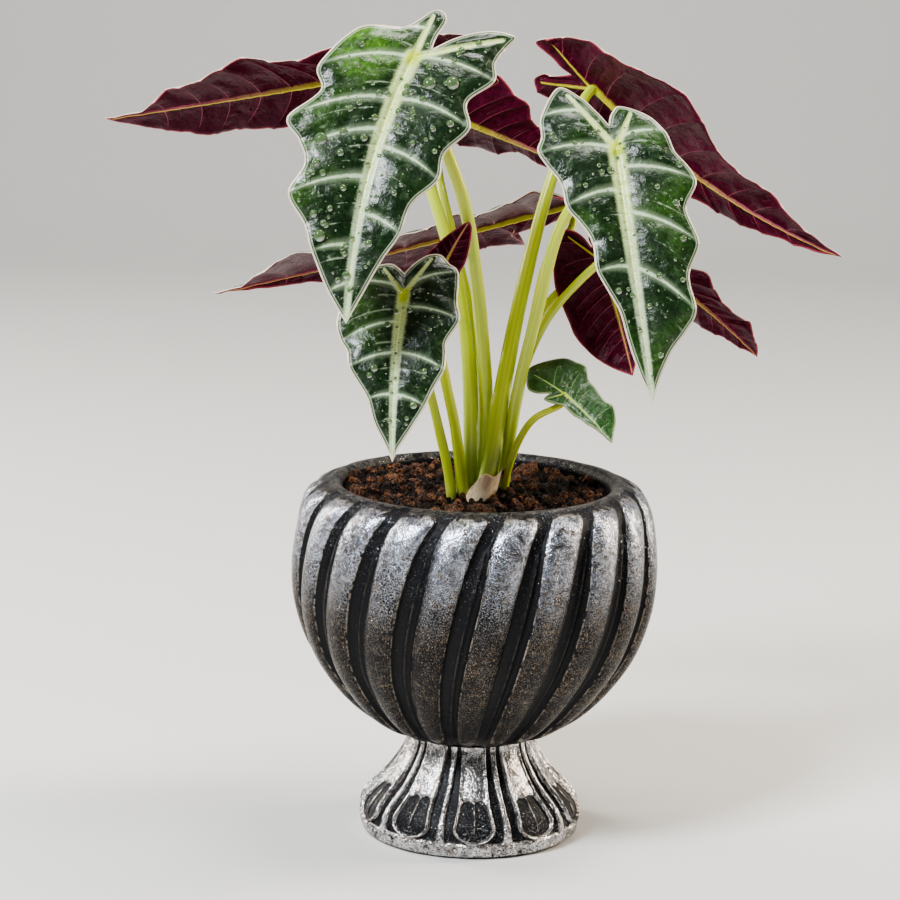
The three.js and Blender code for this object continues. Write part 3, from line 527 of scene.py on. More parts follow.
class NodeWriter:
    """Adds nodes to a tree and links them."""

    def __init__(self, tree):
        self.tree = tree

    def add(self, kind, inputs=None, **settings):
        """A node with its settings made first, because they can change its sockets."""
        node = self.tree.nodes.new(kind)
        for name, value in settings.items():
            setattr(node, name, value)
        for key, value in (inputs or {}).items():
            self.feed(node.inputs[key], value)
        return node

    def feed(self, socket, value):
        """Links an input to another node's output, or gives it a plain value."""
        if isinstance(value, bpy.types.NodeSocket):
            self.tree.links.new(value, socket)
        else:
            socket.default_value = value

    def math(self, operation, *values, clamp=False):
        node = self.add("ShaderNodeMath", dict(enumerate(values)), operation=operation)
        node.use_clamp = clamp
        return node.outputs[0]

    def sway(self, value, amount):
        """Noise round 0.5 turned into a value round 0, amount times as wide."""
        return self.math("MULTIPLY", self.math("SUBTRACT", value, 0.5), amount)

    def total(self, *terms):
        """The sum of values, each of them times its weight."""
        result = 0.0
        for value, weight in terms:
            result = self.math("MULTIPLY_ADD", value, weight, result)
        return result

    def step(self, value, low, high, start=0.0, end=1.0):
        """A smooth change from start to end as value goes from low to high."""
        node = self.add(
            "ShaderNodeMapRange",
            {"Value": value, "From Min": low, "From Max": high, "To Min": start, "To Max": end},
            interpolation_type="SMOOTHSTEP")
        return node.outputs["Result"]

    def mix(self, factor, first, second, blend="MIX"):
        node = self.add("ShaderNodeMix", data_type="RGBA", blend_type=blend)
        self.feed(node.inputs[0], factor)
        self.feed(node.inputs[6], first)
        self.feed(node.inputs[7], second)
        return node.outputs[2]

    def noise(self, vector, scale, detail, roughness=0.55):
        node = self.add("ShaderNodeTexNoise", {
            "Vector": vector, "Scale": scale, "Detail": detail, "Roughness": roughness})
        return node.outputs["Fac"]

    def stretch(self, vector, scale):
        node = self.add("ShaderNodeMapping", {"Vector": vector, "Scale": scale})
        return node.outputs["Vector"]

    def attribute(self, name):
        return self.add("ShaderNodeAttribute", attribute_name=name).outputs["Fac"]

    def place(self):
        return self.add("ShaderNodeTexCoord").outputs["Object"]

    def height(self):
        return self.add("ShaderNodeSeparateXYZ", {0: self.place()}).outputs["Z"]

    def uv_map(self, name):
        return self.add("ShaderNodeUVMap", uv_map=name).outputs["UV"]

    def field(self, name):
        """A number stored on the mesh, for Geometry Nodes."""
        node = self.add("GeometryNodeInputNamedAttribute", {"Name": name}, data_type="FLOAT")
        return node.outputs["Attribute"]

    def keep(self, geometry, name, value, domain="POINT"):
        """Stores a number on the geometry."""
        node = self.add("GeometryNodeStoreNamedAttribute", {
            "Geometry": geometry, "Name": name, "Value": value}, data_type="FLOAT", domain=domain)
        return node.outputs["Geometry"]

    def random(self, seed):
        """A random share from 0 to 1 for each point."""
        return self.add("FunctionNodeRandomValue", {"Seed": seed}, data_type="FLOAT").outputs[1]

    def random_vector(self, seed, low, high):
        node = self.add("FunctionNodeRandomValue", {"Seed": seed}, data_type="FLOAT_VECTOR")
        node.inputs["Min"].default_value = low
        node.inputs["Max"].default_value = high
        return node.outputs[0]

    def scaled(self, vector, scale):
        node = self.add("ShaderNodeVectorMath", {0: vector, "Scale": scale}, operation="SCALE")
        return node.outputs[0]

    def mostly_small(self, seed, power, smallest, largest):
        """Random sizes, the fewer of them the larger they are."""
        share = self.math("POWER", self.random(seed), power)
        node = self.add("ShaderNodeMapRange", {
            "Value": share, "To Min": smallest, "To Max": largest})
        return node.outputs["Result"]

    def end(self, out, geometry, material):
        """The end of a tree of Geometry Nodes."""
        real = self.add("GeometryNodeRealizeInstances", {"Geometry": geometry})
        colored = self.add("GeometryNodeSetMaterial", {
            "Geometry": real.outputs["Geometry"], "Material": material})
        self.feed(out["Geometry"], colored.outputs["Geometry"])
        return self.tree


def rgba(color):
    """A colour with its full opacity, as sockets take it."""
    return (*color, 1.0)


def node_group(name, kind, inputs, outputs):
    """A new node group. Inputs are named with their default values, or with a socket's kind."""
    tree = bpy.data.node_groups.new(name, kind)
    kinds = {float: "Float", int: "Int"}
    for label, value in inputs.items():
        socket = value if isinstance(value, str) else kinds[type(value)]
        item = tree.interface.new_socket(label, in_out="INPUT", socket_type=f"NodeSocket{socket}")
        if socket != value:
            item.default_value = value
    for label, socket in outputs.items():
        tree.interface.new_socket(label, in_out="OUTPUT", socket_type=f"NodeSocket{socket}")
    writer = NodeWriter(tree)
    given = writer.add("NodeGroupInput").outputs
    return writer, given, writer.add("NodeGroupOutput").inputs


def leaf_pattern():
    """Colour, roughness and relief of a blade, from the distances stored on its mesh."""
    name = "leaf_pattern"
    if name in bpy.data.node_groups:
        return bpy.data.node_groups[name]
    w, given, out = node_group(name, "ShaderNodeTree", {
        "Lamina": "Color", "Bright lamina": "Color", "Vein": "Color", "Midrib": "Color",
        "Ridge": "Color", "Margin": "Color", "Sheen": "Color", "Vein width": 1.0,
        "Midrib width": 1.0, "Fine veins": 0.3, "Halo": 0.35, "Patches": 0.5,
    }, {"Color": "Color", "Roughness": "Float", "Height": "Float"})
    place = w.place()
    plan = w.uv_map("plan")
    fan = w.uv_map("leaf")
    fibrils = w.noise(w.stretch(plan, (260, 26, 1)), 1.0, 3.0, 0.6)
    frayed = w.noise(w.stretch(fan, (10, 60, 1)), 1.0, 4.0, 0.65)
    mottle = w.noise(place, 620.0, 3.0, 0.6)
    shade = w.noise(place, 30.0, 3.0, 0.55)
    broken = w.noise(place, 170.0, 3.0, 0.6)

    # The lamina: dark, with painted patches of light coming through it, a fine grain and clouds of
    # painted sheen
    lit = w.math("MULTIPLY", w.attribute("glow"), w.step(broken, 0.34, 0.60, 0.35, 1.0))
    patch = w.math("ADD", w.step(shade, 0.50, 0.72, 0.0, 0.3), lit)
    patch = w.math("MULTIPLY", patch, given["Patches"], clamp=True)
    grain = w.step(mottle, 0.30, 0.72, 0.62, 1.45)
    grain = w.add("ShaderNodeCombineColor", {0: grain, 1: grain, 2: grain}).outputs[0]
    base = w.mix(patch, given["Lamina"], given["Bright lamina"])
    base = w.mix(1.0, base, grain, "MULTIPLY")
    cloud = w.step(w.noise(place, 230.0, 4.0, 0.65), 0.52, 0.70, 0.0, 0.55)
    base = w.mix(cloud, base, given["Sheen"])

    # The side veins: a ragged line in a pale halo, with finer lines and streaks between
    vein = w.math("DIVIDE", w.attribute("vein"), given["Vein width"])
    ragged = w.math("ADD", w.sway(frayed, 1.1), w.sway(mottle, 0.9))
    vein_mask = w.step(w.math("ADD", vein, ragged), 1.35, 0.35, 0.0, 0.85)
    halo = w.math("MULTIPLY", w.step(w.total((ragged, 1.6), (vein, 1.0)), 4.6, 0.8), given["Halo"])
    base = w.mix(halo, base, w.mix(0.55, given["Vein"], given["Sheen"]))
    streaks = w.noise(w.stretch(fan, (75, 5, 1)), 1.0, 4.0, 0.65)
    streaks = w.math("MULTIPLY", w.step(streaks, 0.56, 0.74, 0.0, 0.75), w.step(broken, 0.42, 0.60))
    base = w.mix(w.math("MULTIPLY", streaks, given["Fine veins"]), base, given["Vein"])
    minor = w.math("ADD", w.attribute("minor"), w.sway(mottle, 1.2))
    minor = w.math("ADD", minor, w.step(broken, 0.60, 0.40, 0.0, 1.5))
    minor_mask = w.math("MULTIPLY", w.step(minor, 1.8, 0.1, 0.0, 0.75), given["Fine veins"])
    base = w.mix(minor_mask, base, given["Vein"])
    base = w.mix(vein_mask, base, given["Vein"])

    # The midrib: paler towards the tip, with a ridge in the middle and a knee over the stalk
    rib = w.math("DIVIDE", w.attribute("rib"), given["Midrib width"])
    rib_mask = w.step(w.math("ADD", rib, w.sway(fibrils, 1.3)), 1.75, 0.80)
    rib_color = w.mix(w.step(w.attribute("along"), 0.10, 0.75), given["Midrib"], given["Vein"])
    rib_color = w.mix(w.step(fibrils, 0.60, 0.36, 0.0, 0.35), rib_color, given["Sheen"])
    base = w.mix(rib_mask, base, rib_color)
    base = w.mix(w.step(w.attribute("rib"), 0.26, 0.12, 0.0, 0.9), base, given["Ridge"])
    knee = w.math("MULTIPLY", w.step(w.attribute("knee"), 6.0, 1.5), w.step(rib, 1.3, 0.7))
    base = w.mix(knee, base, KNEE_GREEN)

    # The margin: a pale rim and a thin line inside it
    edge = w.attribute("edge")
    inner_line = w.step(w.math("ABSOLUTE", w.math("SUBTRACT", edge, 1.35)), 0.42, 0.1)
    base = w.mix(w.math("MULTIPLY", inner_line, given["Halo"]), base, given["Vein"])
    base = w.mix(w.step(edge, 0.85, 0.5), base, given["Margin"])

    w.feed(out["Color"], base)
    gloss = w.step(w.noise(place, 90.0, 3.0), 0.3, 0.7, 0.27, 0.42)
    w.feed(out["Roughness"], w.total((gloss, 1.0), (vein_mask, 0.16), (rib_mask, 0.16)))
    w.feed(out["Height"], w.total(
        (w.noise(place, 240.0, 3.0, 0.55), 1.6), (w.noise(place, 105.0, 1.0), 3.2),
        (mottle, 0.35), (w.step(minor, 1.8, 0.0), -0.4)))
    return w.tree


def worn_metal():
    """Rubbed silver over a dark coat: silver where the relief stands high, with specks."""
    name = "worn_metal"
    if name in bpy.data.node_groups:
        return bpy.data.node_groups[name]
    w, given, out = node_group(name, "ShaderNodeTree", {
        "Silver": "Color", "Patina": "Color", "Face cut": 0.42, "Hollow cut": 0.68,
        "Speck scale": 1500.0,
    }, {"Color": "Color", "Metallic": "Float", "Roughness": "Float", "Height": "Float"})
    place = w.place()
    specks = w.noise(place, given["Speck scale"], 5.0, 0.62)
    blots = w.noise(place, 330.0, 4.0, 0.6)
    wear = w.noise(place, 75.0, 4.0, 0.6)
    glints = w.noise(place, 2600.0, 3.0, 0.6)
    relief = w.attribute("relief")

    # Where the specks of metal show: most of the raised faces, little of the hollows
    raised = w.step(w.math("ADD", relief, w.sway(blots, 0.55)), 0.26, 0.50)
    hollow = w.math("MULTIPLY", given["Hollow cut"], w.math("SUBTRACT", 1.0, raised))
    face = w.math("MULTIPLY", given["Face cut"], raised)
    cut = w.total((hollow, 1.0), (face, 1.0), (w.sway(wear, -0.30), 1.0))
    mask = w.step(specks, w.math("SUBTRACT", cut, 0.03), w.math("ADD", cut, 0.05))

    # The metal's colour: tan and tarnished spots, fine pale glints that are painted sparkles of
    # highlight, and fine dark specks
    tan = w.step(w.noise(place, 420.0, 4.0, 0.7), 0.50, 0.64, 0.0, 0.8)
    metal = w.mix(tan, given["Silver"], SPOT_TAN)
    metal = w.mix(w.step(glints, 0.60, 0.68, 0.0, 0.75), metal, PALE_GLINT)
    metal = w.mix(w.step(glints, 0.49, 0.38, 0.0, 0.8), metal, DARK_GLINT)
    tarnish = w.step(w.noise(place, 300.0, 5.0, 0.75), 0.48, 0.60, 0.0, 0.65)
    metal = w.mix(tarnish, metal, TARNISH)

    # The dark coat, rubbed to a thin pale line along the edges of the raised parts
    rim = w.step(w.math("ABSOLUTE", w.math("SUBTRACT", relief, 0.42)), 0.20, 0.05, 0.0, 0.75)
    rim = w.math("MULTIPLY", rim, w.step(blots, 0.42, 0.56))
    coat = w.mix(rim, given["Patina"], RUBBED_EDGE)

    w.feed(out["Color"], w.mix(mask, coat, metal))
    w.feed(out["Metallic"], w.math("MULTIPLY", mask, 0.95))
    w.feed(out["Roughness"], w.math("ADD", w.step(mask, 0.0, 1.0, 0.42, 0.22), w.sway(wear, 0.2)))
    w.feed(out["Height"], w.total((mask, 0.30), (specks, 0.6), (blots, 1.0)))
    return w.tree


def new_material(name, shader=None):
    """An empty material with a Principled shader, and what adds nodes to it."""
    material = bpy.data.materials.new(name)
    material.use_nodes = True
    w = NodeWriter(material.node_tree)
    principled = material.node_tree.nodes["Principled BSDF"]
    for key, value in (shader or {}).items():
        principled.inputs[key].default_value = value
    return material, w, principled


def bump(w, principled, height, strength, distance):
    """Fine relief on the shader's normal."""
    node = w.add("ShaderNodeBump", {"Height": height, "Strength": strength, "Distance": distance})
    w.feed(principled.inputs["Normal"], node.outputs["Normal"])


def leaf_material(name, pattern, shader):
    """A side of a leaf: its values of the leaf pattern and of the shader."""
    material, w, principled = new_material(name, shader)
    group = w.add("ShaderNodeGroup", pattern, node_tree=leaf_pattern())
    w.feed(principled.inputs["Base Color"], group.outputs["Color"])
    w.feed(principled.inputs["Roughness"], group.outputs["Roughness"])
    bump(w, principled, group.outputs["Height"], 0.7, 0.0007)
    return material


def metal_material(name, patina, low, high):
    """Worn metal that changes on its way up. Low and high each give a height in metres, the
    metal's colour there, and the cuts of its faces and hollows: a higher cut shows less metal.
    On the bowl the darker, browner metal low down is partly bronze and partly painted shade,
    and the bright bluish metal high up is a painted highlight."""
    material, w, principled = new_material(name, {"Specular IOR Level": 0.2})
    height = w.height()
    (bottom, low_color, *low_cuts), (top, high_color, *high_cuts) = low, high
    cuts = [w.step(height, bottom, top, *pair) for pair in zip(low_cuts, high_cuts)]
    # On the bowl: darker low down, partly bronze and partly painted shade, and bluish bright high up,
    # a painted highlight
    metal = w.mix(w.step(height, bottom, top), rgba(low_color), rgba(high_color))
    group = w.add("ShaderNodeGroup", node_tree=worn_metal())
    for key, value in {"Silver": metal, "Patina": rgba(patina), "Face cut": cuts[0],
                       "Hollow cut": cuts[1]}.items():
        w.feed(group.inputs[key], value)
    w.feed(principled.inputs["Base Color"], group.outputs["Color"])
    w.feed(principled.inputs["Metallic"], group.outputs["Metallic"])
    w.feed(principled.inputs["Roughness"], group.outputs["Roughness"])
    bump(w, principled, group.outputs["Height"], 0.6, 0.0006)
    return material


def stalk_material(color):
    """Fleshy green skin with fibres along it, paler at the foot and soiled by the coir."""
    material, w, principled = new_material("stalk_skin", {
        "Subsurface Weight": 0.2, "Subsurface Scale": 0.004, "Coat Weight": 0.35,
        "Coat Roughness": 0.2})
    along = w.attribute("along")
    vector = w.add("ShaderNodeCombineXYZ", {0: w.attribute("around"), 1: along}).outputs[0]
    fibres = w.noise(w.stretch(vector, (16, 1.4, 1)), 1.0, 3.0, 0.5)
    fine = w.noise(w.stretch(vector, (60, 3, 1)), 1.0, 2.0, 0.5)
    blotch = w.noise(w.place(), 70.0, 4.0, 0.6)
    base = w.mix(w.step(fibres, 0.38, 0.70), rgba(color), FIBRE_GREEN)
    base = w.mix(w.step(fine, 0.55, 0.75, 0.0, 0.3), base, FURROW_GREEN)
    base = w.mix(w.step(blotch, 0.62, 0.78, 0.0, 0.35), base, BLOTCH_GREEN)
    base = w.mix(w.step(along, 0.28, 0.10, 0.0, 0.7), base, PALE_FOOT)
    soiled = w.math("MULTIPLY", w.step(w.height(), 0.157, 0.149), w.step(blotch, 0.35, 0.6, 0.2, 0.9))
    base = w.mix(soiled, base, SOILED_SKIN)
    w.feed(principled.inputs["Base Color"], base)
    w.feed(principled.inputs["Roughness"], w.step(fibres, 0.3, 0.7, 0.36, 0.48))
    bump(w, principled, fibres, 0.2, 0.0003)
    return material


def soil_material(name, color, shade=None):
    """Moist coir, with painted coppery highlights on some crumbs and painted shade in its pits
    and darkest crumbs; shade names the attribute that gives each crumb its own tone.
    """
    material, w, principled = new_material(name, {"Specular IOR Level": 0.22})
    place = w.place()
    tone = w.attribute(shade) if shade else w.noise(place, 300.0, 2.0)
    grit = w.noise(place, 1300.0, 5.0, 0.7)
    # Each crumb gets a random tone, from the coir's brown down to near-black painted shade
    base = w.mix(w.step(tone, 0.25, 1.0), COIR_SHADE, rgba(color))
    # Painted coppery highlights on the brightest crumbs
    bright = w.step(w.math("MULTIPLY", tone, grit), 0.43, 0.56)
    base = w.mix(bright, base, COIR_PAINTED_HIGHLIGHT)
    # Painted shade in the pits of the grit
    base = w.mix(w.step(grit, 0.42, 0.56), w.mix(0.8, base, COIR_PAINTED_PIT_SHADE), base)
    w.feed(principled.inputs["Base Color"], base)
    wet = w.noise(place, 210.0, 3.0)
    w.feed(principled.inputs["Roughness"], w.step(wet, 0.44, 0.64, 0.24, 0.75))
    bump(w, principled, grit, 1.0, 0.0012)
    return material


def sleeve_material():
    """Dry fibres in tan and straw, stained, darker at the rim and at the pointed corner."""
    material, w, principled = new_material("dry_sleeve", {
        "Roughness": 0.6, "Subsurface Weight": 0.15, "Subsurface Scale": 0.003})
    fibres = w.noise(w.stretch(w.uv_map("sleeve"), (22, 3.5, 1)), 1.0, 4.0, 0.6)
    stain = w.noise(w.place(), 230.0, 4.0, 0.6)
    base = w.mix(w.step(fibres, 0.3, 0.7), DRY_TAN, DRY_STRAW)
    base = w.mix(w.step(stain, 0.58, 0.74, 0.0, 0.55), base, DRY_STAIN)
    corner = w.step(w.attribute("dark"), 0.25, 0.9)
    base = w.mix(w.math("MULTIPLY", corner, w.step(stain, 0.35, 0.55)), base, DRY_CORNER)
    base = w.mix(w.step(w.attribute("edge"), 0.5, 0.1, 0.0, 0.55), base, DRY_RIM)
    w.feed(principled.inputs["Base Color"], base)
    bump(w, principled, fibres, 0.35, 0.0003)
    return material


def corm_material():
    """Brown bark in rings."""
    material, w, principled = new_material("corm_bark", {"Roughness": 0.85})
    scales = w.noise(w.stretch(w.place(), (60, 60, 260)), 1.0, 5.0, 0.65)
    base = w.mix(w.step(scales, 0.35, 0.65), DARK_BARK, LIGHT_BARK)
    w.feed(principled.inputs["Base Color"], base)
    bump(w, principled, scales, 0.8, 0.001)
    return material


def water_material():
    """Water painted green in most of a drop, for the leaf seen through it, with a painted bright
    caustic on the side away from the light.
    """
    material, w, principled = new_material("water_drop", {
        "Roughness": 0.02, "IOR": 1.33, "Transmission Weight": 0.5, "Specular IOR Level": 0.9})
    normal = w.add("ShaderNodeTexCoord").outputs["Normal"]
    facing = w.add("ShaderNodeVectorMath", {0: normal, 1: GLOWING_SIDE},
                   operation="DOT_PRODUCT").outputs["Value"]
    base = w.mix(w.step(facing, 0.35, 0.85), WATER_PAINTED_SEEN_GREEN, WATER_PAINTED_CAUSTIC)
    w.feed(principled.inputs["Base Color"], base)
    return material


def add_object(name, data):
    """A new object in the scene."""
    piece = bpy.data.objects.new(name, data)
    bpy.context.scene.collection.objects.link(piece)
    return piece


def mesh_piece(name, points, faces, materials, slots=None):
    """A mesh object from points in millimetres."""
    mesh = bpy.data.meshes.new(name)
    mesh.from_pydata((np.asarray(points, float) * MM).tolist(), [], faces)
    for material in materials:
        mesh.materials.append(material)
    if slots is not None:
        mesh.polygons.foreach_set("material_index", np.asarray(slots, np.int32))
    mesh.polygons.foreach_set("use_smooth", np.full(len(faces), True))
    mesh.update()
    return add_object(name, mesh)


def store(piece, name, values):
    """Stores a number for each vertex."""
    layer = piece.data.attributes.new(name, "FLOAT", "POINT")
    layer.data.foreach_set("value", np.asarray(values, np.float32))


def vertex_of_corners(piece):
    """The vertex at each corner of each face."""
    corners = np.zeros(len(piece.data.loops), np.int32)
    piece.data.loops.foreach_get("vertex_index", corners)
    return corners


def store_map(piece, name, values):
    """A UV map that gives each corner its vertex's values."""
    layer = piece.data.uv_layers.new(name=name)
    corners = vertex_of_corners(piece)
    layer.data.foreach_set("uv", np.asarray(values, np.float32)[corners].ravel())


def tidy_mesh(piece, distance=1e-6):
    """Joins points that lie together and turns the faces outwards."""
    work = bmesh.new()
    work.from_mesh(piece.data)
    bmesh.ops.remove_doubles(work, verts=work.verts, dist=distance)
    bmesh.ops.recalc_face_normals(work, faces=work.faces)
    work.to_mesh(piece.data)
    work.free()
    piece.data.update()


def finish(piece, nodes=()):
    """Rides a finished piece on the plant's body and hides the solids that it dresses."""
    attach(piece, BODY)
    if nodes:
        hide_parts(*nodes)


def bake_nodes(carrier, name):
    """The plain mesh that a carrier's Geometry Nodes make; the carrier goes."""
    depsgraph = bpy.context.evaluated_depsgraph_get()
    mesh = bpy.data.meshes.new_from_object(carrier.evaluated_get(depsgraph))
    mesh.name = name
    bpy.data.objects.remove(carrier)
    return add_object(name, mesh)


def run_nodes(carrier, tree, values):
    """Adds a Geometry Nodes modifier with its inputs set by their identifiers."""
    modifier = carrier.modifiers.new(tree.name, "NODES")
    modifier.node_group = tree
    for item in tree.interface.items_tree:
        if item.item_type == "SOCKET" and item.in_out == "INPUT" and item.name in values:
            modifier[item.identifier] = values[item.name]


def row_shares(steps, crowding):
    """Shares of the way from a line to the next, drawn towards both ends by crowding."""
    t = np.arange(steps) / steps
    return t - crowding * np.sin(2 * np.pi * t)


def smooth_rows(values, steps, crowding=0.0):
    """Catmull-Rom points through the rows of a table, steps of them to each gap."""
    table = np.asarray(values, float)
    padded = np.vstack([2 * table[0] - table[1], table, 2 * table[-1] - table[-2]])
    t = row_shares(steps, crowding)[:, None]
    out = []
    for i in range(len(table) - 1):
        a, b, c, d = padded[i:i + 4]
        out.append(0.5 * (2 * b + (c - a) * t + (2 * a - 5 * b + 4 * c - d) * t ** 2
                          + (3 * b - a - 3 * c + d) * t ** 3))
    return np.vstack([*out, table[-1:]])


def straight_rows(values, steps, crowding):
    """Straight-line steps between values, spaced as smooth_rows spaces them."""
    table = np.asarray(values, float)
    t = row_shares(steps, crowding)
    out = [table[i] + (table[i + 1] - table[i]) * t for i in range(len(table) - 1)]
    return np.concatenate([*out, table[-1:]])


def level_rows(values, steps):
    """A soft step from each value to the next, which stays level between two equal ones."""
    table = np.asarray(values, float)
    fine = np.linspace(0, len(table) - 1, (len(table) - 1) * steps + 1)
    low = np.floor(fine).astype(int).clip(0, len(table) - 2)
    t = soft_step(fine - low, 0, 1)
    return table[low] * (1 - t) + table[low + 1] * t


def grid_faces(rows, columns, first=0, closed=True):
    """Faces between the rings of a stack, whose points run ring by ring."""
    row = np.arange(rows - 1)[:, None] * columns
    i = np.arange(columns if closed else columns - 1)[None, :]
    a = first + row + i
    b = first + row + (i + 1) % columns
    return np.stack([a, b, b + columns, a + columns], -1).reshape(-1, 4).tolist()


def closed_faces(rings, columns):
    """Faces of a stack of rings and of its flat ends."""
    last = (rings - 1) * columns
    ends = [list(range(columns))[::-1], list(range(last, last + columns))]
    return grid_faces(rings, columns) + ends


def pitch_place(columns, count):
    """Where each column of a ring lies in its pitch, from -0.5 to 0.5, with 0 in the middle."""
    return (np.arange(columns) * count / columns + 0.5) % 1 - 0.5


def revolve(profile, turns, fall, columns):
    """Rings of a turned shape, each point sunk by fall at right angles to the profile."""
    slope = np.gradient(profile, axis=0)
    normals = np.stack([slope[:, 1], -slope[:, 0]], 1)
    normals = normals / np.linalg.norm(normals, axis=1, keepdims=True).clip(1e-9)
    angle = np.arange(columns)[None, :] * 2 * math.pi / columns + np.radians(turns)[:, None]
    radius = profile[:, :1] - normals[:, :1] * fall
    height = profile[:, 1:] - normals[:, 1:] * fall
    height = np.broadcast_to(height, angle.shape)
    return np.stack([radius * np.sin(angle), -radius * np.cos(angle), height], -1)


def soft_step(value, low, high):
    """A smooth change from 0 to 1 as value goes from low to high."""
    t = np.clip((value - low) / (high - low), 0, 1)
    return t * t * (3 - 2 * t)


def make_bowl(settings):
    """The bowl: ribs that lean to the right on their way up, with a small ridge in each channel."""
    columns = settings.rib_count * COLUMNS_PER_RIB
    crest = smooth_rows(BOWL_CREST, BOWL_STEPS)
    radius, height, turns = crest[:, :1], crest[:, 1:2], crest[:, 2]
    depth = in_mm(settings.rib_depth) * level_rows(CHANNEL_DEPTH, BOWL_STEPS)[:, None]
    place = pitch_place(columns, settings.rib_count)[None, :]
    off = np.abs(place)
    # A rib widens towards its nose under the lip, more on its left side, which closes the
    # channel to a crease, and narrows a little at its foot
    spread = np.where(place < 0, 0.12, 0.04)
    wide = 0.325 + spread * soft_step(height, 116, 156) - 0.02 * soft_step(height, 70, 50)
    round_off = 1 - np.power(np.clip(1 - np.power(np.minimum(off / wide, 1), 2.5), 0, 1), 0.55)
    ridge = np.exp(-((place + 0.455) / 0.035) ** 2) * soft_step(height, 146, 138)
    fall = np.where(off < wide, round_off, 1.0) - 0.24 * ridge
    outside = revolve(crest[:, :2], turns, depth * fall, columns)
    inner = np.asarray(BOWL_INSIDE, float)
    inside = revolve(inner, np.full(len(inner), turns[-1]), np.zeros((len(inner), 1)), columns)
    rings = np.concatenate([outside, inside])

    # Relief says how much metal shows: most on a rib, less on its rounded end and on the
    # ridge, and a little round the mouth
    face = soft_step(wide - off, 0.0, 0.10)
    end = soft_step(height, 150.0, 154.5) * (radius > 60)
    relief = face * (1 - 0.75 * end) + 0.30 * ridge * (1 - face)
    relief = relief * soft_step(height, 44, 58)
    mouth = (radius < 64) & (height > 100)
    relief = np.where(mouth, np.minimum(relief + 0.3, 0.265), relief)
    relief = np.concatenate([relief, np.full((len(inside), columns), -0.2)])

    # Darker, browner metal low on the bowl is partly bronze and partly painted shade; the bright
    # bluish metal high on it is a painted highlight
    material = metal_material("bowl_metal", settings.patina, (0.100, settings.bronze_and_painted_shade, 0.48, 0.66),
                              (0.150, settings.silver, 0.39, 0.62))
    faces = closed_faces(len(rings), columns)
    piece = mesh_piece("bowl_ribbed", rings.reshape(-1, 3), faces, [material])
    store(piece, "relief", relief.ravel())
    finish(piece, ["urn_bowl"])


def make_foot(settings):
    """The foot: leaf-like tongues with beaded outlines, a hollow and a vein, over a scalloped base."""
    columns = settings.tongue_count * COLUMNS_PER_TONGUE
    crest = smooth_rows(FOOT_CREST, FOOT_STEPS)
    radius, z = crest[:, :1], crest[:, 1:2]
    pitch = 2 * math.pi / settings.tongue_count * radius
    place = np.abs(pitch_place(columns, settings.tongue_count))[None, :]
    x = place * pitch
    width = np.interp(z, [0, 13, 22, 36, 44], [0.30, 0.30, 0.256, 0.265, 0.275]) * pitch
    share = x / width
    # A tongue's outline is round below this height
    low = 14.5
    off = np.where(z > low, share, np.hypot(share, (z - low) / 7.0))
    distance = (off - 1) * width
    above = soft_step(z, 5.5, 8)
    bead = np.exp(-(distance / 0.62) ** 2) * above
    inside = soft_step(distance, -0.3, -1.1) * above
    outside = soft_step(distance, 0.2, 0.9) * above

    # In a tongue, the hollow under its arch, with a vein and small ticks beside it
    arch = 22.4 + 2.0 * np.sqrt(np.clip(1 - ((share - 0.40) / 0.44) ** 2, 0, 1))
    hollow = inside * soft_step(z, arch + 0.6, arch - 0.6)
    vein = np.exp(-(x / 0.45) ** 2) * soft_step(z, 9, 11.5) * soft_step(z, 23.6, 22)
    ticks = np.exp(-((z - 16.6 - 0.25 * x) / 0.4) ** 2) * soft_step(share, 0.5, 0.38)

    # Between two tongues, a strip that stands up in the channel
    between = (0.5 - place) * pitch
    levels = [6, 10, 20, 36, 44]
    strip = soft_step(between, np.interp(z, levels, [2.6, 2.0, 1.35, 1.5, 1.6]),
                      np.interp(z, levels, [2.0, 1.4, 0.75, 0.9, 1.0]))
    sunk = outside * (1 - strip)

    # Below the tongues, the pads of the base ring with a notch between each two
    pads = 1 - soft_step(z, 5.2, 7.2)
    notch = np.exp(-((place - 0.30) / 0.055) ** 4)
    bulge = np.cos(place / 0.30 * math.pi / 2) ** 2

    fall = (1.9 * sunk + 0.25 * outside * strip) * (1 - 0.45 * soft_step(z, 30, 44))
    fall = fall + hollow * (1.25 - 0.7 * vein - 0.25 * ticks * (1 - vein))
    fall = fall - 0.42 * bead + inside * (1 - hollow) * 0.35 * share ** 2
    fall = fall + pads * (0.9 * notch + 0.3 * (1 - bulge)) * soft_step(z, 0.2, 2.2)
    fall = fall * soft_step(z, 43.9, 41) + 0.45
    turns = np.full(len(crest), math.degrees(settings.tongue_turn))
    rings = revolve(crest, turns, fall, columns)
    rings[0, :, 2] = 0
    relief = 1.0 - 0.98 * sunk - 0.2 * outside * strip + 0.3 * bead
    relief = relief - 0.98 * hollow * (1 - 0.45 * vein) * (1 - 0.12 * ticks)
    relief = relief - pads * (0.15 + 0.45 * notch)

    material = metal_material("foot_metal", settings.patina, (0.0, settings.foot_silver, 0.44, 0.60),
                              (0.044, settings.foot_silver, 0.38, 0.62))
    faces = closed_faces(len(rings), columns)
    piece = mesh_piece("foot_tongued", rings.reshape(-1, 3), faces, [material])
    store(piece, "relief", relief.ravel())
    finish(piece, ["urn_foot"])


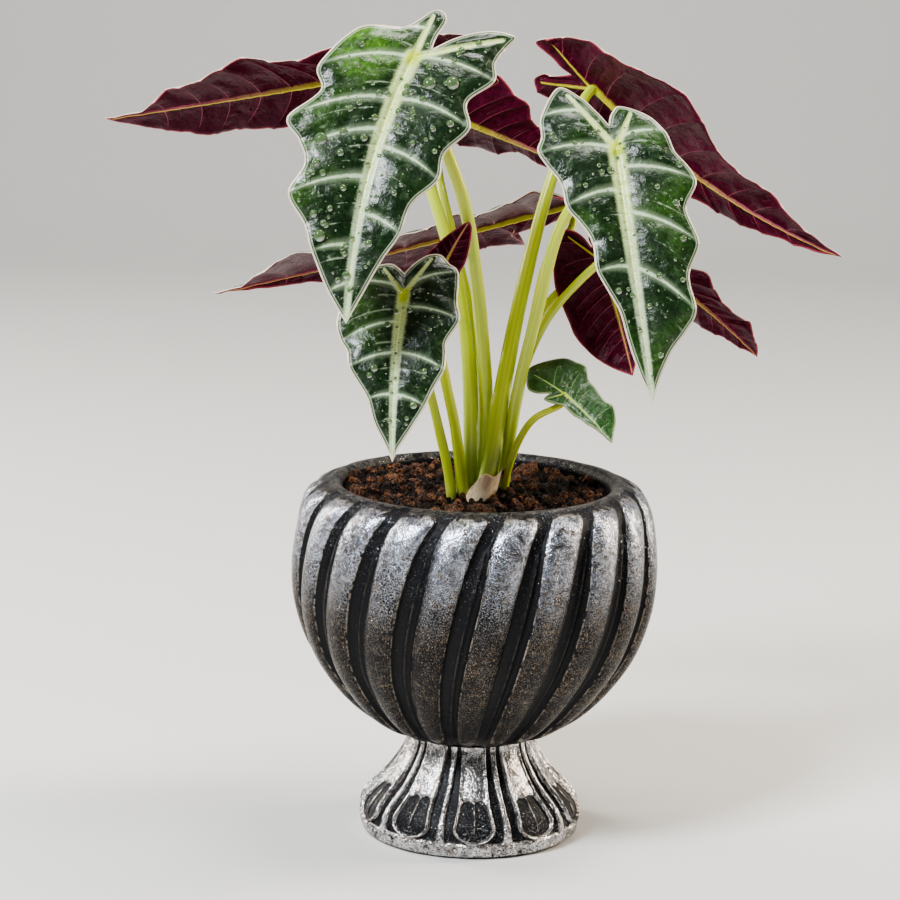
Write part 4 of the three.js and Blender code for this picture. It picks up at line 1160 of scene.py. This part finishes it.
def soil_height(x, y):
    """The soil's lumps above its level, in millimetres, lower at the right."""
    broad = np.sin(x * 0.31 + 1.1) * np.cos(y * 0.27 + 0.4) + np.sin(x * 0.13 - y * 0.19)
    fine = np.sin(x * 1.13 + 2 * np.sin(y * 0.7)) * np.sin(y * 1.31 + 2 * np.sin(x * 0.6))
    grain = np.sin(x * 2.7 + 3 * np.sin(y * 1.9)) * np.sin(y * 2.9 + 3 * np.sin(x * 1.7))
    mound = 4.6 * np.exp(-((x - 12) / 7) ** 2 - ((y + 14) / 6) ** 2)
    return 0.66 * broad - 0.022 * x + 0.95 * fine + 0.6 * grain + mound


def crumb_tree():
    """Geometry Nodes that scatter rough crumbs over a surface."""
    w, given, out = node_group("coir_crumbs", "GeometryNodeTree", {
        "Geometry": "Geometry", "Density": 1000.0, "Smallest": 0.001, "Largest": 0.002,
        "Roughness": 0.0034, "Seed": 1, "Material": "Material",
    }, {"Geometry": "Geometry"})
    seed = given["Seed"]
    points = w.add("GeometryNodeDistributePointsOnFaces", {
        "Mesh": given["Geometry"], "Density": given["Density"], "Seed": seed})
    size = w.mostly_small(seed, 3.0, given["Smallest"], given["Largest"])
    shape = w.random_vector(seed, (0.55, 0.6, 0.5), (1.5, 1.1, 0.95))
    chunk = w.add("GeometryNodeMeshIcoSphere", {"Radius": 1.0, "Subdivisions": 2})
    placed = w.add("GeometryNodeInstanceOnPoints", {
        "Points": points.outputs["Points"], "Instance": chunk.outputs["Mesh"],
        "Rotation": w.random_vector(seed, (0, 0, 0), (6.28, 6.28, 6.28)),
        "Scale": w.scaled(shape, size)})
    toned = w.keep(placed.outputs["Instances"], "shade", w.random(seed), "INSTANCE")
    real = w.add("GeometryNodeRealizeInstances", {"Geometry": toned})
    noise = w.add("ShaderNodeTexNoise", {"Scale": 480.0, "Detail": 2.0})
    push = w.add("ShaderNodeVectorMath", {
        0: noise.outputs["Color"], 1: (0.5, 0.5, 0.5)}, operation="SUBTRACT")
    rough = w.add("GeometryNodeSetPosition", {
        "Geometry": real.outputs["Geometry"],
        "Offset": w.scaled(push.outputs[0], given["Roughness"])})
    return w.end(out, rough.outputs["Geometry"], given["Material"])


def make_soil(settings):
    """The bed of coir, down to the bowl's floor, and the loose crumbs on it."""
    columns = 240
    level = in_mm(settings.level)
    angle = np.arange(columns) * 2 * math.pi / columns
    ring = np.stack([np.sin(angle), -np.cos(angle), np.zeros(columns)], 1)
    wall = [(r, z) for r, z in reversed(BOWL_INSIDE) if z < level]
    rings = [ring * (r - SOIL_GAP) + (0, 0, z + FLOOR_GAP) for r, z in wall]
    shares = np.linspace(0.995, 0.03, 56)
    for share in shares:
        x, y, _ = (ring * share * MOUTH_RADIUS).T
        rings.append(np.stack([x, y, level + soil_height(x, y)], 1))
    points = np.concatenate(rings)
    bed = mesh_piece("soil_bed", points, closed_faces(len(rings), columns),
                     [soil_material("coir_bed", settings.color)])
    finish(bed, ["soil"])

    top = points[len(wall) * columns:]
    surface = mesh_piece("crumb_carrier", top, grid_faces(len(shares), columns), [])
    run_nodes(surface, crumb_tree(), {
        "Density": settings.crumbs * PER_SQUARE_CM, "Smallest": CRUMB_RANGE * settings.crumb_size,
        "Largest": settings.crumb_size, "Seed": CRUMB_SEED,
        "Material": soil_material("coir_crumb", settings.color, "shade")})
    finish(bake_nodes(surface, "soil_crumbs"))


def rounded_curve(route, count):
    """Points along a centripetal Catmull-Rom curve, evenly spaced, as the solids' stems."""
    points = np.asarray(route, float)
    padded = np.vstack([2 * points[0] - points[1], points, 2 * points[-1] - points[-2]])
    fine = []
    for i in range(len(points) - 1):
        p = padded[i:i + 4]
        gap = np.maximum(np.linalg.norm(np.diff(p, axis=0), axis=1) ** 0.5, 1e-4)
        first = ((p[1] - p[0]) / gap[0] - (p[2] - p[0]) / (gap[0] + gap[1])
                 + (p[2] - p[1]) / gap[1]) * gap[1]
        last = ((p[2] - p[1]) / gap[1] - (p[3] - p[1]) / (gap[1] + gap[2])
                + (p[3] - p[2]) / gap[2]) * gap[1]
        t = np.linspace(0, 1, 60, endpoint=i == len(points) - 2)[:, None]
        a = 2 * p[1] - 2 * p[2] + first + last
        b = -3 * p[1] + 3 * p[2] - 2 * first - last
        fine.append(a * t ** 3 + b * t ** 2 + first * t + p[1])
    fine = np.vstack(fine)
    length = np.concatenate([[0], np.cumsum(np.linalg.norm(np.diff(fine, axis=0), axis=1))])
    even = np.linspace(0, length[-1], count)
    return np.stack([np.interp(even, length, fine[:, k]) for k in range(3)], 1)


def stalk_tree():
    """Geometry Nodes that sweep a fleshy stalk along a line of points."""
    w, given, out = node_group("fleshy_stalk", "GeometryNodeTree", {
        "Geometry": "Geometry", "Sides": 24, "Unevenness": 0.0005, "Material": "Material",
    }, {"Geometry": "Geometry"})
    curve = w.add("GeometryNodeMeshToCurve", {"Mesh": given["Geometry"]})
    width = w.field("width")
    sized = w.add("GeometryNodeSetCurveRadius", {"Curve": curve.outputs["Curve"], "Radius": width})
    way = w.add("GeometryNodeSplineParameter").outputs["Factor"]
    circle = w.add("GeometryNodeCurvePrimitiveCircle", {
        "Resolution": given["Sides"], "Radius": 1.0})
    swept = w.add("GeometryNodeCurveToMesh", {
        "Curve": w.keep(sized.outputs["Curve"], "along", way),
        "Profile Curve": w.keep(circle.outputs["Curve"], "around", way),
        "Scale": width, "Fill Caps": True})
    noise = w.add("ShaderNodeTexNoise", {"Scale": 45.0, "Detail": 2.0}).outputs["Fac"]
    normal = w.add("GeometryNodeInputNormal").outputs[0]
    moved = w.add("GeometryNodeSetPosition", {
        "Geometry": swept.outputs["Mesh"],
        "Offset": w.scaled(normal, w.sway(noise, given["Unevenness"]))})
    smooth = w.add("GeometryNodeSetShadeSmooth", {"Geometry": moved.outputs["Geometry"]})
    return w.end(out, smooth.outputs["Geometry"], given["Material"])


def blade_axes(leaf):
    """Along the blade, across it, out of its upper side, and its length."""
    along = np.subtract(leaf["tip"], leaf["stalk"]).astype(float)
    length = np.linalg.norm(along)
    along = along / length
    up = np.asarray(leaf["face"], float)
    up = up - along * up.dot(along)
    up = up / np.linalg.norm(up)
    return along, np.cross(up, along), up, length


def midrib_side(leaf, along):
    """How far the midrib lies to the side, in percent of the blade's length."""
    part = np.clip(np.asarray(along, float) / 100, 0, 1)
    return leaf["sweep"] * 4 * part * (1 - part)


def blade_height(leaf, length, along, across):
    """Height of the blade's middle surface above the line from stalk to tip."""
    middle = (along - 50) / 50
    side = across - midrib_side(leaf, along)
    off = np.abs(side) * length / 100
    slope = np.where(side < 0, leaf["folds"][0], leaf["folds"][1])
    return leaf["arch"] * (1 - middle ** 2) + slope * off - leaf["cup"] * off ** 2


def blade_fan(leaf, half, side, rows, columns):
    """Plan points of one half, along and across in percent of the length, the height of the
    margin's wave at each, the line that each row lies on, and each column's share of a line."""
    shape = HALVES[half]
    margin = smooth_rows(shape["margin"], rows, ROW_CROWDING)
    roots = straight_rows(leaf.get("roots", LINE_ROOTS), rows, ROW_CROWDING)
    lobe = np.asarray(shape["lobe"], float)
    inner = np.where(
        roots[:, None] >= 0,
        np.stack([roots, side * midrib_side(leaf, roots)], 1),
        -roots[:, None] / 100 * lobe[None, :])
    last = len(LINE_ROOTS) - 1
    line = straight_rows(range(last + 1), rows, ROW_CROWDING)
    ends = np.clip(np.minimum(line, last - line), 0, 1)
    crest = [0 if i in (0, last) else (1 if i in shape["crests"] else -1) for i in range(last + 1)]
    wave = leaf["wave"] * np.interp(line, np.arange(last + 1), crest)
    r = (np.arange(columns + 1) / columns) ** 1.5
    reach = np.linalg.norm(margin - inner, axis=1)
    bend = -VEIN_BOW * reach * ends
    s = inner[:, :1] + (margin[:, :1] - inner[:, :1]) * r + bend[:, None] * 4 * r * (1 - r)
    v = side * (inner[:, 1:] + (margin[:, 1:] - inner[:, 1:]) * r)
    return s, v, wave[:, None] * r ** 2, line, r


def line_distance(points, line):
    """Each point's distance from a line of points, and how far along it the nearest lies."""
    best = np.full(len(points), 1e9)
    where = np.zeros(len(points))
    count = len(line) - 1
    for i in range(count):
        start, step = line[i], line[i + 1] - line[i]
        t = np.clip(((points - start) @ step) / max(step @ step, 1e-12), 0, 1)
        gap = np.linalg.norm(points - start - t[:, None] * step, axis=1)
        near = gap < best
        best = np.where(near, gap, best)
        where = np.where(near, (i + t) / count, where)
    return best, where


def blade_distances(leaf, fans, plan, unit, size, vein_width):
    """Distances on the plan, in millimetres and by the name that the material reads. The rib's
    and the vein's are shares of the line's own width there, which shrinks along it."""
    spine = np.linspace(0, 98, 40)
    midrib = np.stack([spine, midrib_side(leaf, spine)], 1) * unit
    rib_gap, where = line_distance(plan, midrib)
    rib = rib_gap / (size * (2.7 - 1.7 * where))
    for half, side in zip(leaf["halves"], SIDES):
        lobe = np.array(HALVES[half]["lobe"], float) * (1, side) * unit
        gap, where = line_distance(plan, np.linspace((0, 0), lobe, 8))
        rib_gap, rib = np.minimum(rib_gap, gap), np.minimum(rib, gap / (size * (1.35 - 0.7 * where)))
    vein_gap, vein, minor, edge = np.full((4, len(plan)), 1e9)
    for (s, v, _, line, _), half in zip(fans, leaf["halves"]):
        grid = np.stack([s, v], -1) * unit

        def to_line(place):
            return line_distance(plan, grid[int(np.argmin(np.abs(line - place)))][::2])

        ends = [0, *HALVES[half]["veins"]]
        for place in ends[1:]:
            gap, where = to_line(place)
            vein_gap = np.minimum(vein_gap, gap)
            width = size * vein_width * (1.1 - 0.75 * where)
            vein = np.minimum(vein, gap / width + 1.2 * soft_step(where, 0.80, 1.0))
        # Two fine veins lie between each two, and fade out on their way to the margin
        for place in [a + (b - a) * share for a, b in zip(ends, ends[1:]) for share in (0.3, 0.62)]:
            gap, where = to_line(place)
            fade = 5 * np.maximum(where - 0.5 - 0.25 * math.sin(place * 5), 0)
            minor = np.minimum(minor, gap / 0.40 + fade)
        edge = np.minimum(edge, line_distance(plan, grid[:, -1])[0])
    distances = {"rib": rib, "vein": vein, "minor": minor, "edge": edge,
                 "knee": np.linalg.norm(plan, axis=1)}
    return distances, rib_gap, vein_gap


def blade_faces(fans, count):
    """Faces of the upper side, the underside and the rim, and the material of each."""
    faces, slots = [], []
    first = 0
    for (grid, _, _, _, _), side in zip(fans, SIDES):
        rows, columns = grid.shape
        sheet = np.asarray(grid_faces(rows, columns, first, closed=False))
        upper = sheet if side > 0 else sheet[:, ::-1]
        lower = upper[:, ::-1] + count
        rim = first + np.arange(rows) * columns + columns - 1
        strip = np.stack([rim[:-1], rim[:-1] + count, rim[1:] + count, rim[1:]], 1)
        faces += upper.tolist() + lower.tolist() + strip.tolist()
        slots += [UPPER] * len(upper) + [LOWER] * len(lower) + [UPPER] * len(strip)
        first += rows * columns
    return faces, slots


def make_blade(number, leaf, settings, materials):
    """One blade: its bent form, quilted between the veins, with ribs below."""
    along, across, up, length = blade_axes(leaf)
    unit = length / 100
    front = number in FRONT_LEAVES
    finer = settings.front_detail if front else 1
    fans = [blade_fan(leaf, half, side, round(settings.rows * finer), round(settings.columns * finer))
            for half, side in zip(leaf["halves"], SIDES)]
    plan = np.concatenate([np.stack([s, v], -1).reshape(-1, 2) for s, v, _, _, _ in fans]) * unit
    s, v = plan.T / unit
    size = min(1.0, length / 100) * 0.75 + 0.25
    vein_width = 1.0 if front else 0.62
    distances, rib_gap, vein_gap = blade_distances(leaf, fans, plan, unit, size, vein_width)
    edge = distances["edge"]

    # The middle surface, in millimetres out of the plane of the stalk's end, tip and face
    wave = np.concatenate([w.reshape(-1) for _, _, w, _, _ in fans])
    nearest = np.minimum(vein_gap, rib_gap * 0.8)
    full = soft_step(edge, 0.0, 6.0)
    quilt = in_mm(settings.quilting) * size * (1 - np.exp(-(nearest / 4.2) ** 2))
    quilt = quilt - 0.22 * np.exp(-(distances["minor"] / 1.6) ** 2)
    ripple = 0.28 * np.sin(plan[:, 0] * 0.55 + number) * (1 - full) * soft_step(edge, 40, 0)
    middle = blade_height(leaf, length, s, v) + wave + quilt * full + ripple

    # The two sides: a furrow between two swells above the midrib, a knob over the stalk, and
    # ribs below
    thin = BLADE_THICKNESS / 2 * (0.45 + 0.55 * soft_step(edge, 0.0, 1.2))
    taper = np.clip(1 - 0.75 * s / 100, 0.25, 1)
    furrow = 0.35 * np.exp(-(rib_gap / 0.9) ** 2) * taper
    swell = 0.25 * np.exp(-((rib_gap - 1.9) / 1.0) ** 2) * taper
    knob = 1.0 * size * np.exp(-(distances["knee"] / 2.6) ** 2)
    top = middle + thin - furrow + swell + knob
    rib_width = 1.75 * size * taper
    rib_below = 2.0 * taper * size * np.sqrt(np.clip(1 - (rib_gap / rib_width) ** 2, 0, 1))
    vein_below = 0.55 * size * np.exp(-(vein_gap / 0.7) ** 2)
    bottom = middle - thin - np.maximum(rib_below, vein_below)

    flat = np.asarray(leaf["stalk"], float) + plan @ np.stack([along, across])
    points = np.concatenate([flat + np.outer(height, up) for height in (top, bottom)])
    faces, slots = blade_faces(fans, len(plan))
    piece = mesh_piece(f"leaf_blade_{number}", points, faces, materials, slots)
    glow = np.zeros(len(plan))
    for place_s, place_v, reach, strength in leaf.get("glow", ()):
        far = np.hypot(s - place_s, v - place_v) * unit / reach
        glow = np.maximum(glow, strength * soft_step(far, 1.0, 0.35))
    for name, values in {**distances, "along": s / 100, "glow": glow}.items():
        store(piece, name, np.tile(np.minimum(values, 99), 2))
    # The "leaf" map runs from line to line and from the midrib to the margin
    line = np.concatenate([np.repeat(line, grid.shape[1]) for grid, _, _, line, _ in fans])
    share = np.concatenate([np.tile(r, grid.shape[0]) for grid, _, _, _, r in fans])
    store_map(piece, "leaf", np.tile(np.stack([line / 15, share], 1), (2, 1)))
    store_map(piece, "plan", np.tile(plan / 100, (2, 1)))
    tidy_mesh(piece, 2e-6)
    finish(piece, [f"blade_{number}"])


def make_stalk(number, leaf, tree, material):
    """One stalk, from the soil to its knee under the blade."""
    _, _, up, length = blade_axes(leaf)
    seat = np.asarray(leaf["stalk"], float) + up * (
        blade_height(leaf, length, 0.0, 0.0) - BLADE_THICKNESS / 2 - SEAT_DEPTH)
    knee = seat - up * (KNEE_LENGTH * leaf["radii"][1] + 1.7)
    foot = (*leaf["route"][0][:2], STALK_FOOT)
    points = rounded_curve([foot, *leaf["route"], knee, seat], 70)
    width = np.linspace(*leaf["radii"], len(points))
    mesh = bpy.data.meshes.new(f"stalk_line_{number}")
    edges = [(i, i + 1) for i in range(len(points) - 1)]
    mesh.from_pydata((points * MM).tolist(), edges, [])
    carrier = add_object(mesh.name, mesh)
    store(carrier, "width", width * MM)
    run_nodes(carrier, tree, {"Material": material})
    piece = bake_nodes(carrier, f"leaf_stalk_{number}")
    tidy_mesh(piece)
    finish(piece, [f"stalk_{number}"])


def drop_tree():
    """Geometry Nodes that set drops of water on a leaf, a little way inside its margin."""
    w, given, out = node_group("water_drops", "GeometryNodeTree", {
        "Geometry": "Geometry", "Density": 1000.0, "Gap": DROP_GAP, "Smallest": SMALLEST_DROP,
        "Largest": 0.0018, "Margin": 2.2, "Height": DROP_HEIGHT, "Seed": 1, "Material": "Material",
    }, {"Geometry": "Geometry"})
    points = w.add("GeometryNodeDistributePointsOnFaces", {
        "Mesh": given["Geometry"], "Density Max": given["Density"], "Distance Min": given["Gap"],
        "Selection": w.math("GREATER_THAN", w.field("edge"), given["Margin"]),
        "Seed": given["Seed"]}, distribute_method="POISSON")
    size = w.mostly_small(given["Seed"], 3.4, given["Smallest"], given["Largest"])
    flat = w.add("ShaderNodeCombineXYZ", {0: 1.0, 1: 1.0, 2: given["Height"]}).outputs[0]
    drop = w.add("GeometryNodeMeshIcoSphere", {"Radius": 1.0, "Subdivisions": 2})
    placed = w.add("GeometryNodeInstanceOnPoints", {
        "Points": points.outputs["Points"], "Instance": drop.outputs["Mesh"],
        "Rotation": points.outputs["Rotation"], "Scale": w.scaled(flat, size)})
    real = w.add("GeometryNodeRealizeInstances", {"Geometry": placed.outputs["Instances"]})
    smooth = w.add("GeometryNodeSetShadeSmooth", {"Geometry": real.outputs["Geometry"]})
    return w.end(out, smooth.outputs["Geometry"], given["Material"])


def top_faces(piece):
    """A copy of a blade's upper side alone."""
    mesh = piece.data.copy()
    work = bmesh.new()
    work.from_mesh(mesh)
    gone = [face for face in work.faces if face.material_index != UPPER]
    bmesh.ops.delete(work, geom=gone, context="FACES")
    work.to_mesh(mesh)
    work.free()
    return add_object("drop_carrier", mesh)


def make_large_drops(leaf, blade, material):
    """Domes of water at chosen places of a blade's upper side."""
    count = len(blade.data.vertices)
    corners = vertex_of_corners(blade)
    plan = np.zeros(len(corners) * 2, np.float32)
    blade.data.uv_layers["plan"].data.foreach_get("uv", plan)
    spots = np.zeros((count, 2))
    spots[corners] = plan.reshape(-1, 2) * 100
    upper = np.zeros(count, bool)
    for face in blade.data.polygons:
        if face.material_index == UPPER:
            upper[list(face.vertices)] = True
    length = blade_axes(leaf)[3]
    work = bmesh.new()
    for s, v, size in LARGE_DROPS:
        gap = np.hypot(*(spots - np.array([s, v]) * length / 100).T) + np.where(upper, 0, 1e6)
        vertex = blade.data.vertices[int(np.argmin(gap))]
        turn = vertex.normal.to_track_quat("Z", "Y").to_matrix().to_4x4()
        shape = Matrix.Diagonal((1, DROP_LENGTH, DROP_HEIGHT, 1))
        shape = Matrix.Scale(size * DROP_SWELL * MM, 4) @ shape
        bmesh.ops.create_icosphere(work, subdivisions=3, radius=1,
                                   matrix=Matrix.Translation(vertex.co) @ turn @ shape)
    mesh = bpy.data.meshes.new("drops_large")
    work.to_mesh(mesh)
    work.free()
    mesh.materials.append(material)
    mesh.polygons.foreach_set("use_smooth", np.full(len(mesh.polygons), True))
    finish(add_object("drops_large", mesh))


def make_sleeve():
    """The torn papery sleeve round the foot of the thickest stalk."""
    rows, columns = 30, 57
    route = rounded_curve(SLEEVE_ROUTE, 60)
    bottom = SLEEVE_ROUTE[0][2]
    turn = np.radians(np.linspace(-88, 88, columns))
    level = np.linspace(0, 1, rows)[:, None]
    # The torn top runs down to the left, dips in the middle and ends in a point at the right
    torn = 150.5 + 12.0 * soft_step(turn, -1.75, -0.15) + 1.8 * np.exp(-((turn - 1.15) / 0.3) ** 2)
    torn = torn - 1.6 * np.exp(-((turn - 0.35) / 0.4) ** 2)
    torn = torn + 0.15 * np.sin(turn * 9) + 0.10 * np.sin(turn * 31 + 1)
    lift = bottom + level * (torn - bottom)
    # It is crinkled and flares out at the left of its foot
    radius = np.interp(lift, [146, 165], [7.7, 5.8]) + 0.25 * np.sin(turn * 3 + level * 2)
    flare = 3.4 * (1 - level) ** 1.5 * np.clip(-np.sin(turn), 0, 1)
    x, y = (np.interp(lift, route[:, 2], route[:, axis]) for axis in (0, 1))
    layers = [np.stack([x + r * np.sin(turn) - flare, y - r * np.cos(turn), lift], -1)
              for r in (radius, radius - SLEEVE_THICKNESS)]
    points = np.concatenate(layers).reshape(-1, 3)

    grid = np.arange(rows * columns).reshape(rows, columns)
    outer = np.asarray(grid_faces(rows, columns, closed=False))
    inner = outer[:, ::-1] + grid.size
    rim = np.concatenate([grid[0], grid[1:, -1], grid[-1, -2::-1], grid[-2:0:-1, 0]])
    after = np.roll(rim, -1)
    strip = np.stack([after, rim, rim + grid.size, after + grid.size], 1)
    faces = outer.tolist() + inner.tolist() + strip.tolist()
    piece = mesh_piece("dry_sleeve", points, faces, [sleeve_material()])
    u, v = np.meshgrid(np.linspace(0, 1, columns), np.linspace(0, 1, rows))
    u, v = np.tile(u.ravel(), 2), np.tile(v.ravel(), 2)
    store_map(piece, "sleeve", np.stack([u, v], 1))
    store(piece, "edge", np.minimum(np.minimum(u, 1 - u) * 20, (1 - v) * 14))
    store(piece, "dark", soft_step(u, 0.72, 0.92) * soft_step(v, 0.70, 0.98))
    tidy_mesh(piece)
    finish(piece, ["papery_sleeve"])


class PLANT_OT_urn_bowl(bpy.types.Operator):
    """Build the ribbed bowl of the urn"""

    bl_idname = "plant.urn_bowl"
    bl_label = "Urn bowl"

    def execute(self, context):
        make_bowl(context.scene.urn_settings)
        return {"FINISHED"}


class PLANT_OT_urn_foot(bpy.types.Operator):
    """Build the flared foot with its tongues"""

    bl_idname = "plant.urn_foot"
    bl_label = "Urn foot"

    def execute(self, context):
        make_foot(context.scene.urn_settings)
        return {"FINISHED"}


class PLANT_OT_soil(bpy.types.Operator):
    """Fill the bowl with coir and scatter its crumbs"""

    bl_idname = "plant.soil"
    bl_label = "Soil"

    def execute(self, context):
        make_soil(context.scene.soil_settings)
        return {"FINISHED"}


class PLANT_OT_corm(bpy.types.Operator):
    """Finish the corm inside the soil"""

    bl_idname = "plant.corm"
    bl_label = "Corm"

    def execute(self, context):
        mesh = frame["nodes"]["corm"].data
        mesh.materials.clear()
        mesh.materials.append(corm_material())
        return {"FINISHED"}


class PLANT_OT_stalks(bpy.types.Operator):
    """Sweep the leaf stalks along their routes"""

    bl_idname = "plant.stalks"
    bl_label = "Leaf stalks"

    def execute(self, context):
        tree = stalk_tree()
        material = stalk_material(context.scene.leaf_settings.stalk)
        for number, leaf in enumerate(LEAVES, 1):
            make_stalk(number, leaf, tree, material)
        return {"FINISHED"}


class PLANT_OT_sleeve(bpy.types.Operator):
    """Wrap the dry sleeve round the thickest stalk's foot"""

    bl_idname = "plant.sleeve"
    bl_label = "Dry sleeve"

    def execute(self, context):
        make_sleeve()
        return {"FINISHED"}


class PLANT_OT_blades(bpy.types.Operator):
    """Build the veined leaf blades"""

    bl_idname = "plant.blades"
    bl_label = "Leaf blades"

    def execute(self, context):
        settings = context.scene.leaf_settings
        top = leaf_material("leaf_upper", {
            "Lamina": rgba(settings.lamina), "Bright lamina": rgba(settings.lamina_bright),
            "Vein": rgba(settings.vein), "Midrib": rgba(settings.midrib),
            "Ridge": (0.72, 0.78, 0.30, 1), "Margin": (0.66, 0.58, 0.46, 1),
            "Sheen": (0.042, 0.078, 0.030, 1), "Fine veins": 0.50, "Halo": 0.45,
            "Patches": 0.85,
        }, {"Coat Weight": 0.22, "Coat Roughness": 0.16, "Specular IOR Level": 0.38})
        young = leaf_material("leaf_young", {
            "Lamina": (0.028, 0.070, 0.020, 1), "Bright lamina": (0.06, 0.13, 0.035, 1),
            "Vein": (0.20, 0.31, 0.12, 1), "Midrib": (0.32, 0.44, 0.12, 1),
            "Ridge": (0.42, 0.54, 0.18, 1), "Margin": (0.22, 0.28, 0.14, 1),
            "Sheen": (0.045, 0.090, 0.034, 1), "Vein width": 0.6, "Midrib width": 0.45,
            "Fine veins": 0.12, "Halo": 0.10, "Patches": 0.5,
        }, {"Coat Weight": 0.08, "Coat Roughness": 0.3, "Specular IOR Level": 0.3})
        under = leaf_material("leaf_underside", {
            "Lamina": rgba(settings.underside), "Bright lamina": (0.13, 0.006, 0.034, 1),
            "Vein": (0.38, 0.09, 0.13, 1), "Midrib": (0.46, 0.42, 0.030, 1),
            "Ridge": (0.58, 0.54, 0.06, 1), "Margin": (0.30, 0.05, 0.07, 1),
            "Sheen": (0.10, 0.006, 0.030, 1), "Vein width": 0.30, "Midrib width": 0.55,
            "Fine veins": 0.10, "Halo": 0.08, "Patches": 0.9,
        }, {"Specular IOR Level": 0.10})
        for number, leaf in enumerate(LEAVES, 1):
            make_blade(number, leaf, settings, [young if number == YOUNG_LEAF else top, under])
        return {"FINISHED"}


class PLANT_OT_water(bpy.types.Operator):
    """Set drops of water on the leaves that face the viewer"""

    bl_idname = "plant.water"
    bl_label = "Water drops"

    def execute(self, context):
        settings = context.scene.water_settings
        tree = drop_tree()
        material = water_material()
        for number in WET_LEAVES:
            carrier = top_faces(bpy.data.objects[f"leaf_blade_{number}"])
            run_nodes(carrier, tree, {
                "Density": settings.density * PER_SQUARE_CM, "Gap": DROP_GAP,
                "Smallest": SMALLEST_DROP, "Largest": settings.largest, "Seed": number * 3,
                "Material": material})
            finish(bake_nodes(carrier, f"drops_{number}"))
        make_large_drops(LEAVES[0], bpy.data.objects["leaf_blade_1"], material)
        return {"FINISHED"}


class PLANT_OT_stage(bpy.types.Operator):
    """Set the pale floor, the soft lights and the camera"""

    bl_idname = "plant.stage"
    bl_label = "Stage"

    def execute(self, context):
        make_floor()
        for light in LIGHTS:
            area_light(*light)
        make_world()
        make_camera()
        return {"FINISHED"}


def area_light(name, place, size, power, color):
    """A soft lamp that looks at the middle of the plant."""
    lamp = bpy.data.lights.new(name, "AREA")
    lamp.shape = "RECTANGLE"
    lamp.size, lamp.size_y = size
    lamp.energy = power
    lamp.color = color
    holder = add_object(name, lamp)
    holder.location = place
    holder.rotation_euler = (Vector(LIT_POINT) - Vector(place)).to_track_quat("-Z", "Y").to_euler()


def make_floor():
    """A pale floor that rises in a wide bend behind the plant."""
    material, w, principled = new_material("pale_floor", {"Roughness": 0.75})
    tone = w.noise(w.place(), 3.0, 2.0)
    w.feed(principled.inputs["Base Color"], w.mix(tone, (0.66, 0.65, 0.63, 1), (0.70, 0.69, 0.67, 1)))
    front, back, bend, top, half_width = -3000, 1600, 700, 3200, 3500
    turns = np.linspace(0, math.pi / 2, 13)
    line = [(front, 0)]
    line += [(back + bend * math.sin(a), bend - bend * math.cos(a)) for a in turns]
    line += [(back + bend, top)]
    points = [(x, y, z) for y, z in line for x in (-half_width, half_width)]
    faces = [(2 * i, 2 * i + 1, 2 * i + 3, 2 * i + 2) for i in range(len(line) - 1)]
    mesh_piece("floor", points, faces, [material])


def make_world():
    """A dim room that looks brighter behind the plant than it shines on it."""
    world = bpy.data.worlds.new("soft_room")
    world.use_nodes = True
    w = NodeWriter(world.node_tree)
    background = world.node_tree.nodes["Background"]
    background.inputs["Color"].default_value = (0.80, 0.83, 0.88, 1)
    seen = w.add("ShaderNodeLightPath").outputs["Is Camera Ray"]
    w.feed(background.inputs["Strength"], w.step(seen, 0.0, 1.0, 0.11, 0.62))
    bpy.context.scene.world = world
    bpy.context.scene.view_settings.look = "AgX - Medium High Contrast"


def make_camera():
    """The camera, at the photograph's viewing angle."""
    lens = bpy.data.cameras.new("camera")
    lens.sensor_width = SENSOR_WIDTH
    lens.lens = FOCAL_LENGTH
    lens.clip_end = 20
    camera = add_object("camera", lens)
    camera.matrix_world = (Matrix.Translation(CAMERA_PLACE)
                           @ Matrix.Rotation(math.radians(90 - CAMERA_PITCH), 4, "X")
                           @ Matrix.Rotation(math.radians(CAMERA_ROLL), 4, "Z"))
    bpy.context.scene.camera = camera


OPERATORS = (
    PLANT_OT_stage, PLANT_OT_urn_foot, PLANT_OT_urn_bowl, PLANT_OT_soil, PLANT_OT_corm,
    PLANT_OT_stalks, PLANT_OT_sleeve, PLANT_OT_blades, PLANT_OT_water,
)
SETTINGS = (
    ("urn_settings", UrnSettings), ("leaf_settings", LeafSettings),
    ("soil_settings", SoilSettings), ("water_settings", WaterSettings),
)


class PLANT_PT_sidebar(bpy.types.Panel):
    """Lists the plant's settings and the steps that build it"""

    bl_label = "Potted alocasia"
    bl_idname = "PLANT_PT_sidebar"
    bl_space_type = "VIEW_3D"
    bl_region_type = "UI"
    bl_category = "Alocasia"

    def draw(self, context):
        for name, group in SETTINGS:
            box = self.layout.box()
            for prop in group.__annotations__:
                box.prop(getattr(context.scene, name), prop)
        for operator in OPERATORS:
            self.layout.operator(operator.bl_idname)


def register():
    for name, group in SETTINGS:
        bpy.utils.register_class(group)
        setattr(bpy.types.Scene, name, PointerProperty(type=group))
    for item in (*OPERATORS, PLANT_PT_sidebar):
        bpy.utils.register_class(item)


def unregister():
    for item in reversed((*OPERATORS, PLANT_PT_sidebar)):
        bpy.utils.unregister_class(item)
    for name, group in reversed(SETTINGS):
        delattr(bpy.types.Scene, name)
        bpy.utils.unregister_class(group)


def main():
    """Builds all pieces."""
    register()
    bpy.ops.plant.stage()
    bpy.ops.plant.urn_foot()
    bpy.ops.plant.urn_bowl()
    bpy.ops.plant.soil()
    bpy.ops.plant.corm()
    bpy.ops.plant.stalks()
    bpy.ops.plant.sleeve()
    bpy.ops.plant.blades()
    bpy.ops.plant.water()


if __name__ == "__main__":
    main()
